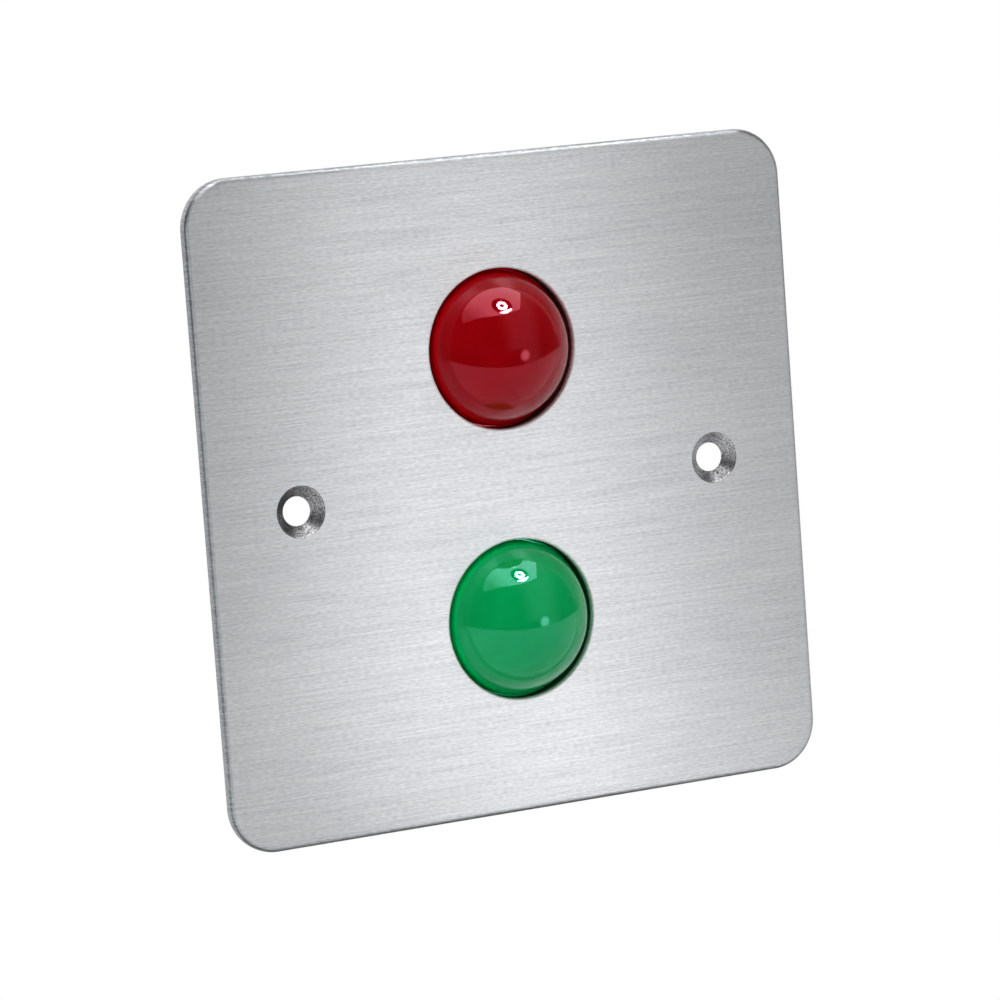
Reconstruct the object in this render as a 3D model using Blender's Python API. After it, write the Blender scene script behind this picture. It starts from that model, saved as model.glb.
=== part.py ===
"""Wall plate with two domed push buttons, red over green, that light up and spring back.

The plate's back face lies in the plane y = 0, centred on the origin. +Y runs into the wall, +Z is up,
and a person pressing a button pushes it along +Y. All lengths are in metres.
"""

import math

import bmesh
import bpy
from mathutils import Vector

# Face plate
PLATE_WIDTH = 0.0860
PLATE_HEIGHT = 0.0860
PLATE_THICKNESS = 0.0015
PLATE_CORNER_RADIUS = 0.0063
PLATE_EDGE_ROUND = 0.00080
FIXING_PITCH = 0.0603
FIXING_HOLE_RADIUS = 0.00190
COUNTERSINK_RADIUS = 0.00335
BUTTON_PITCH = 0.0354
BUTTON_HOLE_GAP = 0.0003
BUTTON_HOLE_ROUND = 0.00025

# Domed lens, which is the button a finger presses
LENS_RADIUS = 0.01015
LENS_PROUD = 0.0067
LENS_WALL = 0.0016
LENS_FLANGE_LIP = 0.00135
LENS_FLANGE_THICKNESS = 0.0012
LENS_SKIRT = 0.0062
PRESS_TRAVEL = 0.0025

# Diffuser disc with its post, pressed into the lens
DIFFUSER_THICKNESS = 0.0014
DIFFUSER_INSET = 0.0012
POST_RADIUS = 0.0024
POST_LENGTH = 0.0048

# Return spring
SPRING_WIRE = 0.0005
SPRING_LENGTH = 0.0065
SPRING_TURNS = 4

# Rubber seal between the plate and the lens flange
SEAL_THICKNESS = 0.0008

# Moulded housing
HOUSING_WALL = 0.0015
HOUSING_FLOOR = 0.0013
EAR_SETBACK = 0.0003
EAR_THICKNESS = 0.0025
EAR_RADIUS = 0.0037

# Switch
SWITCH_WIDTH = 0.0080
SWITCH_HEIGHT = 0.0045
SWITCH_BASE = 0.0004
SWITCH_EDGE = 0.0003
STEM_RADIUS = 0.0015

# Lamps
LED_RADIUS = 0.0015
LED_RIM_RADIUS = 0.0019
LED_RIM_HEIGHT = 0.0010
LED_HEIGHT = 0.0053

# Circuit board, waisted at mid-height
BOARD_THICKNESS = 0.0016
BOARD_SIDE_MARGIN = 0.0040
BOARD_END_MARGIN = 0.0130
BOARD_CORNER_RADIUS = 0.0020
WAIST_WIDTH = 0.0280
WAIST_HEIGHT = 0.0180

# Fasteners
STUD_RADIUS = 0.0015
STUD_TIP = 0.0016
SPACER_WIDTH = 0.0055
WASHER_RADIUS = 0.0033
WASHER_THICKNESS = 0.0005
NUT_WIDTH = 0.0055
NUT_HEIGHT = 0.0024

# Terminal block
TERMINAL_POLES = 4
TERMINAL_PITCH = 0.0050
TERMINAL_HEIGHT = 0.0080
TERMINAL_DEPTH = 0.0100
TERMINAL_CHAMFER = 0.0018
WIRE_WIDTH = 0.0040
WIRE_DEPTH = 0.0044
WIRE_FLOOR = 0.0016
WIRE_REAR_WALL = 0.0014
TERMINAL_SCREW_RADIUS = 0.0016
TERMINAL_SCREW_SINK = 0.0006
SCREW_SLOT_WIDTH = 0.0006
SCREW_SLOT_DEPTH = 0.0008
CLAMP_THICKNESS = 0.0006

# Series resistors
RESISTOR_LENGTH = 0.0032
RESISTOR_WIDTH = 0.0016
RESISTOR_HEIGHT = 0.0007
RESISTOR_EDGE = 0.0001
RESISTOR_PLACE = 0.0100

# Clearances
SEAT_GAP = 0.0002
SLIDE_GAP = 0.00025
STOP_GAP = 0.0001
THREAD_GAP = 0.0001
SPRING_POST_GAP = 0.0005
LED_SWITCH_GAP = 0.0005
SPACER_HOUSING_GAP = 0.0005
CUT_OVERRUN = 0.0010

# Facets of the round pieces
CORNER_STEPS = 8
EDGE_STEPS = 3
DOME_STEPS = 10
INSIDE_STEPS = 6
LENS_SIDES = 44
FIXING_SIDES = 32
SMALL_SIDES = 18
SPRING_POINTS_PER_TURN = 10
MERGE_DISTANCE = 0.000002

# Sizes that follow from those above
PLATE_FRONT = -PLATE_THICKNESS
BUTTON_HEIGHTS = {"red": BUTTON_PITCH / 2, "green": -BUTTON_PITCH / 2}
BUTTON_HOLE_RADIUS = LENS_RADIUS + BUTTON_HOLE_GAP
LENS_CENTRE = PLATE_FRONT - LENS_PROUD + LENS_RADIUS
LENS_INSIDE = LENS_RADIUS - LENS_WALL
FLANGE_RADIUS = BUTTON_HOLE_RADIUS + LENS_FLANGE_LIP
SEAL_FRONT = SEAT_GAP
SEAL_BACK = SEAL_FRONT + SEAL_THICKNESS
FLANGE_FRONT = SEAL_BACK + SEAT_GAP
FLANGE_BACK = FLANGE_FRONT + LENS_FLANGE_THICKNESS
SKIRT_END = FLANGE_BACK + LENS_SKIRT
STOP_LEDGE = FLANGE_BACK + PRESS_TRAVEL + STOP_GAP
DIFFUSER_BACK = SKIRT_END - DIFFUSER_INSET
DIFFUSER_FRONT = DIFFUSER_BACK - DIFFUSER_THICKNESS
POST_END = DIFFUSER_BACK + POST_LENGTH
SPRING_FRONT = DIFFUSER_BACK + SEAT_GAP
SPRING_BACK = SPRING_FRONT + SPRING_LENGTH
SPRING_RADIUS = POST_RADIUS + SPRING_POST_GAP + SPRING_WIRE / 2
HOUSING_FRONT = SEAT_GAP
FLOOR_FRONT = SPRING_BACK + SEAT_GAP
FLOOR_BACK = FLOOR_FRONT + HOUSING_FLOOR
SLEEVE_INSIDE = FLANGE_RADIUS + SLIDE_GAP
BARREL_INSIDE = LENS_RADIUS + SLIDE_GAP
HOUSING_RADIUS = SLEEVE_INSIDE + HOUSING_WALL
EAR_FRONT = HOUSING_FRONT + EAR_SETBACK
EAR_BACK = EAR_FRONT + EAR_THICKNESS
SWITCH_FRONT = FLOOR_BACK + SEAT_GAP
SWITCH_BACK = SWITCH_FRONT + SWITCH_HEIGHT
WELL_FLOOR = SWITCH_BACK - SWITCH_BASE
STEM_END = WELL_FLOOR - PRESS_TRAVEL - SEAT_GAP
STEM_FRONT = POST_END + SEAT_GAP
BOARD_FRONT = SWITCH_BACK + SEAT_GAP
BOARD_BACK = BOARD_FRONT + BOARD_THICKNESS
LED_BACK = BOARD_FRONT - SEAT_GAP
LED_OFFSET = SWITCH_WIDTH / 2 + LED_SWITCH_GAP + LED_RIM_RADIUS
SPACER_REACH = SPACER_WIDTH / math.sqrt(3)
STUD_OFFSET = HOUSING_RADIUS + SPACER_HOUSING_GAP + SPACER_REACH
STUD_PLACES = [(x, z) for z in BUTTON_HEIGHTS.values() for x in (-STUD_OFFSET, STUD_OFFSET)]
STUD_HOLE_RADIUS = STUD_RADIUS + SEAT_GAP
WASHER_FRONT = BOARD_BACK + SEAT_GAP
WASHER_BACK = WASHER_FRONT + WASHER_THICKNESS
NUT_FRONT = WASHER_BACK + SEAT_GAP
NUT_BACK = NUT_FRONT + NUT_HEIGHT
STUD_END = NUT_BACK + STUD_TIP
TERMINAL_FRONT = BOARD_BACK + SEAT_GAP
TERMINAL_BACK = TERMINAL_FRONT + TERMINAL_DEPTH
WIRE_FRONT = TERMINAL_FRONT + WIRE_FLOOR
WIRE_BACK = WIRE_FRONT + WIRE_DEPTH
CLAMP_BACK = WIRE_BACK - SEAT_GAP
TERMINAL_SCREW_FRONT = WIRE_BACK
TERMINAL_SCREW_BACK = TERMINAL_BACK - TERMINAL_SCREW_SINK


def clear_scene():
    for obj in list(bpy.data.objects):
        bpy.data.objects.remove(obj, do_unlink=True)


def finish(name, colour, roughness, metallic=0.0, transmission=0.0):
    """Principled material of one colour."""
    made = bpy.data.materials.new(name)
    made.use_nodes = True
    shader = made.node_tree.nodes["Principled BSDF"]
    shader.inputs["Base Color"].default_value = (*colour, 1.0)
    shader.inputs["Roughness"].default_value = roughness
    shader.inputs["Metallic"].default_value = metallic
    shader.inputs["Transmission Weight"].default_value = transmission
    return made


def add_piece(name, bm, material, location=(0.0, 0.0, 0.0), parent=None):
    """Object made from a finished bmesh, shaded smooth except at its sharp edges."""
    mesh = bpy.data.meshes.new(name)
    bm.to_mesh(mesh)
    bm.free()
    mesh.materials.append(material)
    mesh.shade_smooth()
    mesh.set_sharp_from_angle(angle=math.radians(35))
    return add_object(name, mesh, location, parent)


def add_object(name, data, location, parent=None):
    piece = bpy.data.objects.new(name, data)
    piece.location = location
    piece.parent = parent
    bpy.context.collection.objects.link(piece)
    return piece


def add_cutter(name, bm, location=(0.0, 0.0, 0.0)):
    """Guide solid that only takes part in Boolean operations."""
    mesh = bpy.data.meshes.new(name)
    bm.to_mesh(mesh)
    bm.free()
    guide = add_object(name, mesh, location)
    guide.hide_render = True
    guide.display_type = "WIRE"
    return guide


def combine(piece, guide, operation="DIFFERENCE"):
    step = piece.modifiers.new(guide.name, "BOOLEAN")
    step.operation = operation
    step.solver = "EXACT"
    step.object = guide


def turned(profile, sides):
    """Solid turned about the Y axis from (radius, y) points.

    A profile that starts and ends on the axis closes there. Any other is a ring's closed section.
    The middle of a facet, not an edge, faces +X.
    """
    bm = bmesh.new()
    half_facet = math.pi / sides
    across, up = math.cos(half_facet), math.sin(half_facet)
    points = [bm.verts.new((radius * across, y, radius * up)) for radius, y in profile]
    edges = [bm.edges.new(pair) for pair in zip(points, points[1:])]
    if profile[0][0] > 0.0 or profile[-1][0] > 0.0:
        edges.append(bm.edges.new((points[-1], points[0])))
    bmesh.ops.spin(
        bm, geom=points + edges, cent=(0.0, 0.0, 0.0), axis=(0.0, 1.0, 0.0), angle=2 * math.pi, steps=sides
    )
    bmesh.ops.remove_doubles(bm, verts=bm.verts, dist=MERGE_DISTANCE)
    bmesh.ops.recalc_face_normals(bm, faces=bm.faces)
    return bm


def prism(corners, reach):
    """Solid swept from a flat outline along the vector reach."""
    bm = bmesh.new()
    face = bm.faces.new([bm.verts.new(corner) for corner in corners])
    swept = bmesh.ops.extrude_face_region(bm, geom=[face])["geom"]
    moved = [item for item in swept if isinstance(item, bmesh.types.BMVert)]
    bmesh.ops.translate(bm, vec=reach, verts=moved)
    bmesh.ops.recalc_face_normals(bm, faces=bm.faces)
    return bm


def box(low, high):
    (x0, y0, z0), (x1, y1, z1) = low, high
    return prism([(x0, y0, z0), (x1, y0, z0), (x1, y0, z1), (x0, y0, z1)], (0.0, y1 - y0, 0.0))


def rod(radius, y_front, y_back, sides=SMALL_SIDES):
    return turned([(0.0, y_front), (radius, y_front), (radius, y_back), (0.0, y_back)], sides)


def ring(inside, outside, y_front, y_back, sides):
    section = [(inside, y_front), (outside, y_front), (outside, y_back), (inside, y_back)]
    return turned(section, sides)


def hex_sleeve(width, hole_radius, y_front, y_back, sides=SMALL_SIDES):
    """Hexagon bar, width across its flats, with a round hole along it."""
    bm = bmesh.new()
    flat_turn = math.pi / 3
    loops = []
    for y in (y_front, y_back):
        outer, inner = [], []
        for step in range(sides):
            turn = 2 * math.pi * step / sides
            reach = width / 2 / math.cos((turn % flat_turn) - flat_turn / 2)
            outer.append(bm.verts.new((reach * math.cos(turn), y, reach * math.sin(turn))))
            inner.append(bm.verts.new((hole_radius * math.cos(turn), y, hole_radius * math.sin(turn))))
        loops.append((outer, inner))
    (outer_front, inner_front), (outer_back, inner_back) = loops
    round_trip = [outer_front, outer_back, inner_back, inner_front, outer_front]
    for near, far in zip(round_trip, round_trip[1:]):
        for step in range(sides):
            after = (step + 1) % sides
            bm.faces.new((near[step], near[after], far[after], far[step]))
    bmesh.ops.recalc_face_normals(bm, faces=bm.faces)
    return bm


def rounded_outline(width, height, radius, steps=CORNER_STEPS):
    """Points of a rectangle with round corners, anticlockwise from its right side."""
    points = []
    for quarter, (side, end) in enumerate([(1, 1), (-1, 1), (-1, -1), (1, -1)]):
        centre_x = side * (width / 2 - radius)
        centre_z = end * (height / 2 - radius)
        for step in range(steps + 1):
            turn = math.pi / 2 * (quarter + step / steps)
            points.append((centre_x + radius * math.cos(turn), centre_z + radius * math.sin(turn)))
    return points


def flared_hole(radius, flare, y_front, y_back):
    """Cutting profile of a hole along Y whose front edge is rounded over by flare."""
    profile = [(0.0, y_front - CUT_OVERRUN), (radius + flare, y_front - CUT_OVERRUN)]
    for step in range(EDGE_STEPS + 1):
        turn = math.pi / 2 * step / EDGE_STEPS
        profile.append((radius + flare * (1 - math.sin(turn)), y_front + flare * (1 - math.cos(turn))))
    return profile + [(radius, y_back), (0.0, y_back)]


def make_plate(steel):
    outline = rounded_outline(PLATE_WIDTH, PLATE_HEIGHT, PLATE_CORNER_RADIUS)
    bm = prism([(x, PLATE_FRONT, z) for x, z in outline], (0.0, PLATE_THICKNESS, 0.0))
    front = min(bm.faces, key=lambda face: face.calc_center_median().y)
    bmesh.ops.bevel(
        bm, geom=list(front.edges), offset=PLATE_EDGE_ROUND, segments=EDGE_STEPS, profile=0.5, affect="EDGES"
    )
    # Two strips of the back, beside the fixing screws, are faces of their own: they bear on the wall.
    strip_start = FIXING_PITCH / 2 + COUNTERSINK_RADIUS
    for side in (-1, 1):
        back = [face for face in bm.faces if face.calc_center_median().y > -MERGE_DISTANCE]
        around = {item for face in back for item in (*face.edges, *face.verts)}
        bmesh.ops.bisect_plane(
            bm, geom=[*back, *around], plane_co=(side * strip_start, 0.0, 0.0), plane_no=(1.0, 0.0, 0.0)
        )
    plate = add_piece("faceplate", bm, steel)
    for colour, height in BUTTON_HEIGHTS.items():
        profile = flared_hole(BUTTON_HOLE_RADIUS, BUTTON_HOLE_ROUND, PLATE_FRONT, CUT_OVERRUN)
        hole = add_cutter(f"{colour}_button_hole", turned(profile, LENS_SIDES), (0.0, 0.0, height))
        combine(plate, hole)
    # Countersinks of 90 degrees, whose depth equals the step in radius
    sink_depth = COUNTERSINK_RADIUS - FIXING_HOLE_RADIUS
    sink = [
        (0.0, PLATE_FRONT - CUT_OVERRUN),
        (COUNTERSINK_RADIUS + CUT_OVERRUN, PLATE_FRONT - CUT_OVERRUN),
        (FIXING_HOLE_RADIUS, PLATE_FRONT + sink_depth),
        (FIXING_HOLE_RADIUS, CUT_OVERRUN),
        (0.0, CUT_OVERRUN),
    ]
    for name, side in (("left", -1), ("right", 1)):
        place = (side * FIXING_PITCH / 2, 0.0, 0.0)
        combine(plate, add_cutter(f"{name}_fixing_hole", turned(sink, FIXING_SIDES), place))


def make_studs(steel):
    for number, (x, z) in enumerate(STUD_PLACES, start=1):
        tip = STUD_RADIUS / 3
        profile = [
            (0.0, SEAT_GAP),
            (STUD_RADIUS, SEAT_GAP),
            (STUD_RADIUS, STUD_END - tip),
            (STUD_RADIUS - tip, STUD_END),
            (0.0, STUD_END),
        ]
        add_piece(f"weld_stud_{number}", turned(profile, SMALL_SIDES), steel, (x, 0.0, z))


def lens_profile():
    """Section of the dome, its retaining flange and its skirt, from the outside apex to the inside one."""
    reach = min(max((LENS_CENTRE - FLANGE_FRONT) / LENS_RADIUS, 0.0), 1.0)
    last_turn = math.acos(reach)
    points = []
    for step in range(DOME_STEPS + 1):
        turn = last_turn * step / DOME_STEPS
        points.append((LENS_RADIUS * math.sin(turn), LENS_CENTRE - LENS_RADIUS * math.cos(turn)))
    if LENS_CENTRE < FLANGE_FRONT:
        points.append((LENS_RADIUS, FLANGE_FRONT))
    points += [
        (FLANGE_RADIUS, FLANGE_FRONT),
        (FLANGE_RADIUS, FLANGE_BACK),
        (LENS_RADIUS, FLANGE_BACK),
        (LENS_RADIUS, SKIRT_END),
        (LENS_INSIDE, SKIRT_END),
    ]
    for step in range(INSIDE_STEPS + 1):
        turn = math.pi / 2 * (1 - step / INSIDE_STEPS)
        points.append((LENS_INSIDE * math.sin(turn), LENS_CENTRE - LENS_INSIDE * math.cos(turn)))
    return points


def make_moving_button(colour, axis, lens_finish, diffuser_finish, stem_finish):
    """Lens, diffuser and switch stem, which travel together along the button's axis."""
    add_piece(f"{colour}_lens", turned(lens_profile(), LENS_SIDES), lens_finish, parent=axis)
    diffuser_radius = LENS_INSIDE - SLIDE_GAP
    diffuser = [
        (0.0, DIFFUSER_FRONT),
        (diffuser_radius, DIFFUSER_FRONT),
        (diffuser_radius, DIFFUSER_BACK),
        (POST_RADIUS, DIFFUSER_BACK),
        (POST_RADIUS, POST_END),
        (0.0, POST_END),
    ]
    add_piece(f"{colour}_diffuser", turned(diffuser, LENS_SIDES), diffuser_finish, parent=axis)
    add_piece(f"{colour}_switch_stem", rod(STEM_RADIUS, STEM_FRONT, STEM_END), stem_finish, parent=axis)


def make_seal(colour, place, rubber):
    bm = ring(LENS_RADIUS + SLIDE_GAP, FLANGE_RADIUS, SEAL_FRONT, SEAL_BACK, LENS_SIDES)
    add_piece(f"{colour}_seal", bm, rubber, place)


def ear_outline(direction):
    """One ear of the housing: rounded about its stud, with its root inside the sleeve's wall."""
    root_radius = (SLEEVE_INSIDE + HOUSING_RADIUS) / 2
    half_root = math.asin(EAR_RADIUS / root_radius)
    points = []
    for step in range(EDGE_STEPS + 1):
        turn = half_root * (1 - 2 * step / EDGE_STEPS)
        points.append((direction * root_radius * math.cos(turn), root_radius * math.sin(turn)))
    for step in range(2 * CORNER_STEPS + 1):
        turn = math.pi / 2 * (step / CORNER_STEPS - 1)
        points.append((direction * (STUD_OFFSET + EAR_RADIUS * math.cos(turn)), EAR_RADIUS * math.sin(turn)))
    return points


def make_housing(colour, place, plastic):
    """Cup that guides the lens, with a stop ledge, a pierced floor and an ear on each side."""
    post_hole = POST_RADIUS + SLIDE_GAP
    section = [
        (post_hole, FLOOR_FRONT),
        (BARREL_INSIDE, FLOOR_FRONT),
        (BARREL_INSIDE, STOP_LEDGE),
        (SLEEVE_INSIDE, STOP_LEDGE),
        (SLEEVE_INSIDE, HOUSING_FRONT),
        (HOUSING_RADIUS, HOUSING_FRONT),
        (HOUSING_RADIUS, FLOOR_BACK),
        (post_hole, FLOOR_BACK),
    ]
    housing = add_piece(f"{colour}_housing", turned(section, LENS_SIDES), plastic, place)
    for side, direction in (("left", -1), ("right", 1)):
        outline = [(x, EAR_FRONT, z) for x, z in ear_outline(direction)]
        ear = add_cutter(f"{colour}_{side}_ear", prism(outline, (0.0, EAR_THICKNESS, 0.0)), place)
        combine(housing, ear, "UNION")
        holes = [
            ("stud", STUD_OFFSET, STUD_HOLE_RADIUS, EAR_FRONT, EAR_BACK),
            ("led", LED_OFFSET, LED_RADIUS + SLIDE_GAP, FLOOR_FRONT, FLOOR_BACK),
        ]
        for name, offset, radius, front, back in holes:
            peg = rod(radius, front - CUT_OVERRUN, back + CUT_OVERRUN)
            hole = add_cutter(f"{colour}_{side}_{name}_hole", peg, (direction * offset, 0.0, place[2]))
            combine(housing, hole)


def make_spring(colour, place, steel):
    """Coil of round wire from the diffuser to the housing floor."""
    coil = bpy.data.curves.new(f"{colour}_spring", "CURVE")
    coil.dimensions = "3D"
    coil.bevel_depth = SPRING_WIRE / 2
    coil.bevel_resolution = 1
    coil.use_fill_caps = True
    count = SPRING_TURNS * SPRING_POINTS_PER_TURN + 1
    rise = SPRING_LENGTH - SPRING_WIRE
    points = []
    for step in range(count):
        turn = 2 * math.pi * step / SPRING_POINTS_PER_TURN
        y = SPRING_FRONT + SPRING_WIRE / 2 + rise * step / (count - 1)
        points.append(Vector((SPRING_RADIUS * math.cos(turn), y, SPRING_RADIUS * math.sin(turn))))
    spline = coil.splines.new("POLY")
    spline.points.add(count - 1)
    for point, where in zip(spline.points, points):
        point.co = (*where, 1.0)
    coil.materials.append(steel)
    add_object(f"{colour}_spring", coil, place)
    apart = SPRING_POINTS_PER_TURN // 2
    least = min((a - b).length for i, a in enumerate(points) for b in points[i + apart:])
    print(f"{colour}_spring least gap between turns: {(least - SPRING_WIRE) * 1000:.2f} mm")


def make_switch(colour, place, plastic):
    half = SWITCH_WIDTH / 2
    bm = box((-half, SWITCH_FRONT, -half), (half, SWITCH_BACK, half))
    bmesh.ops.bevel(bm, geom=list(bm.edges), offset=SWITCH_EDGE, segments=1, profile=0.5, affect="EDGES")
    body = add_piece(f"{colour}_switch_body", bm, plastic, place)
    well = rod(STEM_RADIUS + SLIDE_GAP, SWITCH_FRONT - CUT_OVERRUN, WELL_FLOOR)
    combine(body, add_cutter(f"{colour}_switch_well", well, place))


def make_leds(colour, place, material):
    tip_base = LED_BACK - LED_HEIGHT + LED_RADIUS
    profile = []
    for step in range(EDGE_STEPS + 1):
        turn = math.pi / 2 * step / EDGE_STEPS
        profile.append((LED_RADIUS * math.sin(turn), tip_base - LED_RADIUS * math.cos(turn)))
    profile += [
        (LED_RADIUS, LED_BACK - LED_RIM_HEIGHT),
        (LED_RIM_RADIUS, LED_BACK - LED_RIM_HEIGHT),
        (LED_RIM_RADIUS, LED_BACK),
        (0.0, LED_BACK),
    ]
    for side, x in (("left", -LED_OFFSET), ("right", LED_OFFSET)):
        add_piece(f"{colour}_led_{side}", turned(profile, SMALL_SIDES), material, (x, 0.0, place[2]))


def board_outline():
    """Right half from top to bottom, then the left half, with square notches that make the waist."""
    half_width = STUD_OFFSET + BOARD_SIDE_MARGIN
    half_height = BUTTON_PITCH / 2 + BOARD_END_MARGIN
    corner = BOARD_CORNER_RADIUS
    right = [(half_width - corner, half_height)]
    for step in range(1, EDGE_STEPS + 1):
        turn = math.pi / 2 * (1 - step / EDGE_STEPS)
        right.append(
            (half_width - corner + corner * math.cos(turn), half_height - corner + corner * math.sin(turn))
        )
    right += [(half_width, WAIST_HEIGHT / 2), (WAIST_WIDTH / 2, WAIST_HEIGHT / 2)]
    right += [(x, -z) for x, z in reversed(right)]
    return right + [(-x, z) for x, z in reversed(right)]


def make_board(laminate):
    outline = [(x, BOARD_FRONT, z) for x, z in board_outline()]
    board = add_piece("circuit_board", prism(outline, (0.0, BOARD_THICKNESS, 0.0)), laminate)
    for number, (x, z) in enumerate(STUD_PLACES, start=1):
        peg = rod(STUD_HOLE_RADIUS, BOARD_FRONT - CUT_OVERRUN, BOARD_BACK + CUT_OVERRUN)
        combine(board, add_cutter(f"board_hole_{number}", peg, (x, 0.0, z)))


def make_fasteners(brass, steel):
    """Spacer, washer and nut that clamp the board on each stud."""
    for number, (x, z) in enumerate(STUD_PLACES, start=1):
        place = (x, 0.0, z)
        spacer = hex_sleeve(SPACER_WIDTH, STUD_HOLE_RADIUS, EAR_BACK + SEAT_GAP, BOARD_FRONT - SEAT_GAP)
        add_piece(f"spacer_{number}", spacer, brass, place)
        washer = ring(STUD_HOLE_RADIUS, WASHER_RADIUS, WASHER_FRONT, WASHER_BACK, SMALL_SIDES)
        add_piece(f"washer_{number}", washer, steel, place)
        nut = hex_sleeve(NUT_WIDTH, STUD_RADIUS + THREAD_GAP, NUT_FRONT, NUT_BACK)
        add_piece(f"nut_{number}", nut, steel, place)


def make_terminal_block(plastic, brass, steel):
    """Screw terminals: wires enter from below, screws face the back."""
    half_length = TERMINAL_POLES * TERMINAL_PITCH / 2
    half_height = TERMINAL_HEIGHT / 2
    side = [
        (TERMINAL_FRONT, -half_height),
        (TERMINAL_FRONT, half_height),
        (TERMINAL_BACK - TERMINAL_CHAMFER, half_height),
        (TERMINAL_BACK, half_height - TERMINAL_CHAMFER),
        (TERMINAL_BACK, TERMINAL_CHAMFER - half_height),
        (TERMINAL_BACK - TERMINAL_CHAMFER, -half_height),
    ]
    bm = prism([(-half_length, y, z) for y, z in side], (2 * half_length, 0.0, 0.0))
    block = add_piece("terminal_block", bm, plastic)
    well_radius = TERMINAL_SCREW_RADIUS + SLIDE_GAP
    pocket_end = half_height - WIRE_REAR_WALL
    for pole in range(1, TERMINAL_POLES + 1):
        x = (pole - (TERMINAL_POLES + 1) / 2) * TERMINAL_PITCH
        place = (x, 0.0, 0.0)
        pocket = box(
            (-WIRE_WIDTH / 2, WIRE_FRONT, -half_height - CUT_OVERRUN), (WIRE_WIDTH / 2, WIRE_BACK, pocket_end)
        )
        combine(block, add_cutter(f"wire_entry_{pole}", pocket, place))
        well = rod(well_radius, (WIRE_FRONT + WIRE_BACK) / 2, TERMINAL_BACK + CUT_OVERRUN)
        combine(block, add_cutter(f"screw_well_{pole}", well, place))
        make_terminal_screw(pole, place, steel)
        clamp_half = WIRE_WIDTH / 2 - SLIDE_GAP
        clamp = box(
            (-clamp_half, CLAMP_BACK - CLAMP_THICKNESS, -clamp_half), (clamp_half, CLAMP_BACK, clamp_half)
        )
        add_piece(f"terminal_clamp_{pole}", clamp, brass, place)


def make_terminal_screw(pole, place, steel):
    head = rod(TERMINAL_SCREW_RADIUS, TERMINAL_SCREW_FRONT, TERMINAL_SCREW_BACK)
    screw = add_piece(f"terminal_screw_{pole}", head, steel, place)
    slot = box(
        (-SCREW_SLOT_WIDTH / 2, TERMINAL_SCREW_BACK - SCREW_SLOT_DEPTH, -2 * TERMINAL_SCREW_RADIUS),
        (SCREW_SLOT_WIDTH / 2, TERMINAL_SCREW_BACK + CUT_OVERRUN, 2 * TERMINAL_SCREW_RADIUS),
    )
    combine(screw, add_cutter(f"screw_slot_{pole}", slot, place))


def make_resistors(ceramic):
    """Chip resistor on the board's back for each button's lamps."""
    front = BOARD_BACK + SEAT_GAP
    half_length, half_width = RESISTOR_LENGTH / 2, RESISTOR_WIDTH / 2
    for colour, height in BUTTON_HEIGHTS.items():
        bm = box((-half_length, front, -half_width), (half_length, front + RESISTOR_HEIGHT, half_width))
        bmesh.ops.bevel(bm, geom=list(bm.edges), offset=RESISTOR_EDGE, segments=1, profile=0.5, affect="EDGES")
        place = (0.0, 0.0, math.copysign(RESISTOR_PLACE, height))
        add_piece(f"{colour}_resistor", bm, ceramic, place)


def main():
    clear_scene()
    steel = finish("brushed_steel", (0.62, 0.62, 0.61), 0.34, 1.0)
    plated = finish("plated_steel", (0.72, 0.72, 0.70), 0.30, 1.0)
    brass = finish("brass", (0.72, 0.52, 0.24), 0.35, 1.0)
    black = finish("black_plastic", (0.015, 0.015, 0.016), 0.45)
    rubber = finish("black_rubber", (0.012, 0.012, 0.012), 0.75)
    white = finish("white_diffuser", (0.85, 0.85, 0.82), 0.50)
    laminate = finish("board_laminate", (0.02, 0.16, 0.07), 0.40)
    ceramic = finish("resistor_ceramic", (0.03, 0.03, 0.03), 0.40)
    terminal = finish("terminal_plastic", (0.05, 0.26, 0.12), 0.40)
    lenses = {
        "red": finish("red_lens", (0.24, 0.0, 0.004), 0.06, transmission=0.25),
        "green": finish("green_lens", (0.0, 0.30, 0.08), 0.06, transmission=0.25),
    }
    lamps = {
        "red": finish("red_lamp", (0.55, 0.03, 0.03), 0.10, transmission=0.5),
        "green": finish("green_lamp", (0.05, 0.45, 0.12), 0.10, transmission=0.5),
    }
    make_plate(steel)
    make_studs(plated)
    for colour, height in BUTTON_HEIGHTS.items():
        place = (0.0, 0.0, height)
        axis = add_object(f"{colour}_button_axis", None, place)
        make_moving_button(colour, axis, lenses[colour], white, black)
        make_seal(colour, place, rubber)
        make_housing(colour, place, black)
        make_spring(colour, place, plated)
        make_switch(colour, place, black)
        make_leds(colour, place, lamps[colour])
    make_board(laminate)
    make_fasteners(brass, plated)
    make_terminal_block(terminal, brass, plated)
    make_resistors(ceramic)


main()
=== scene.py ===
import math

import bmesh
import bpy
from mathutils import Matrix, Vector


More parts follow.
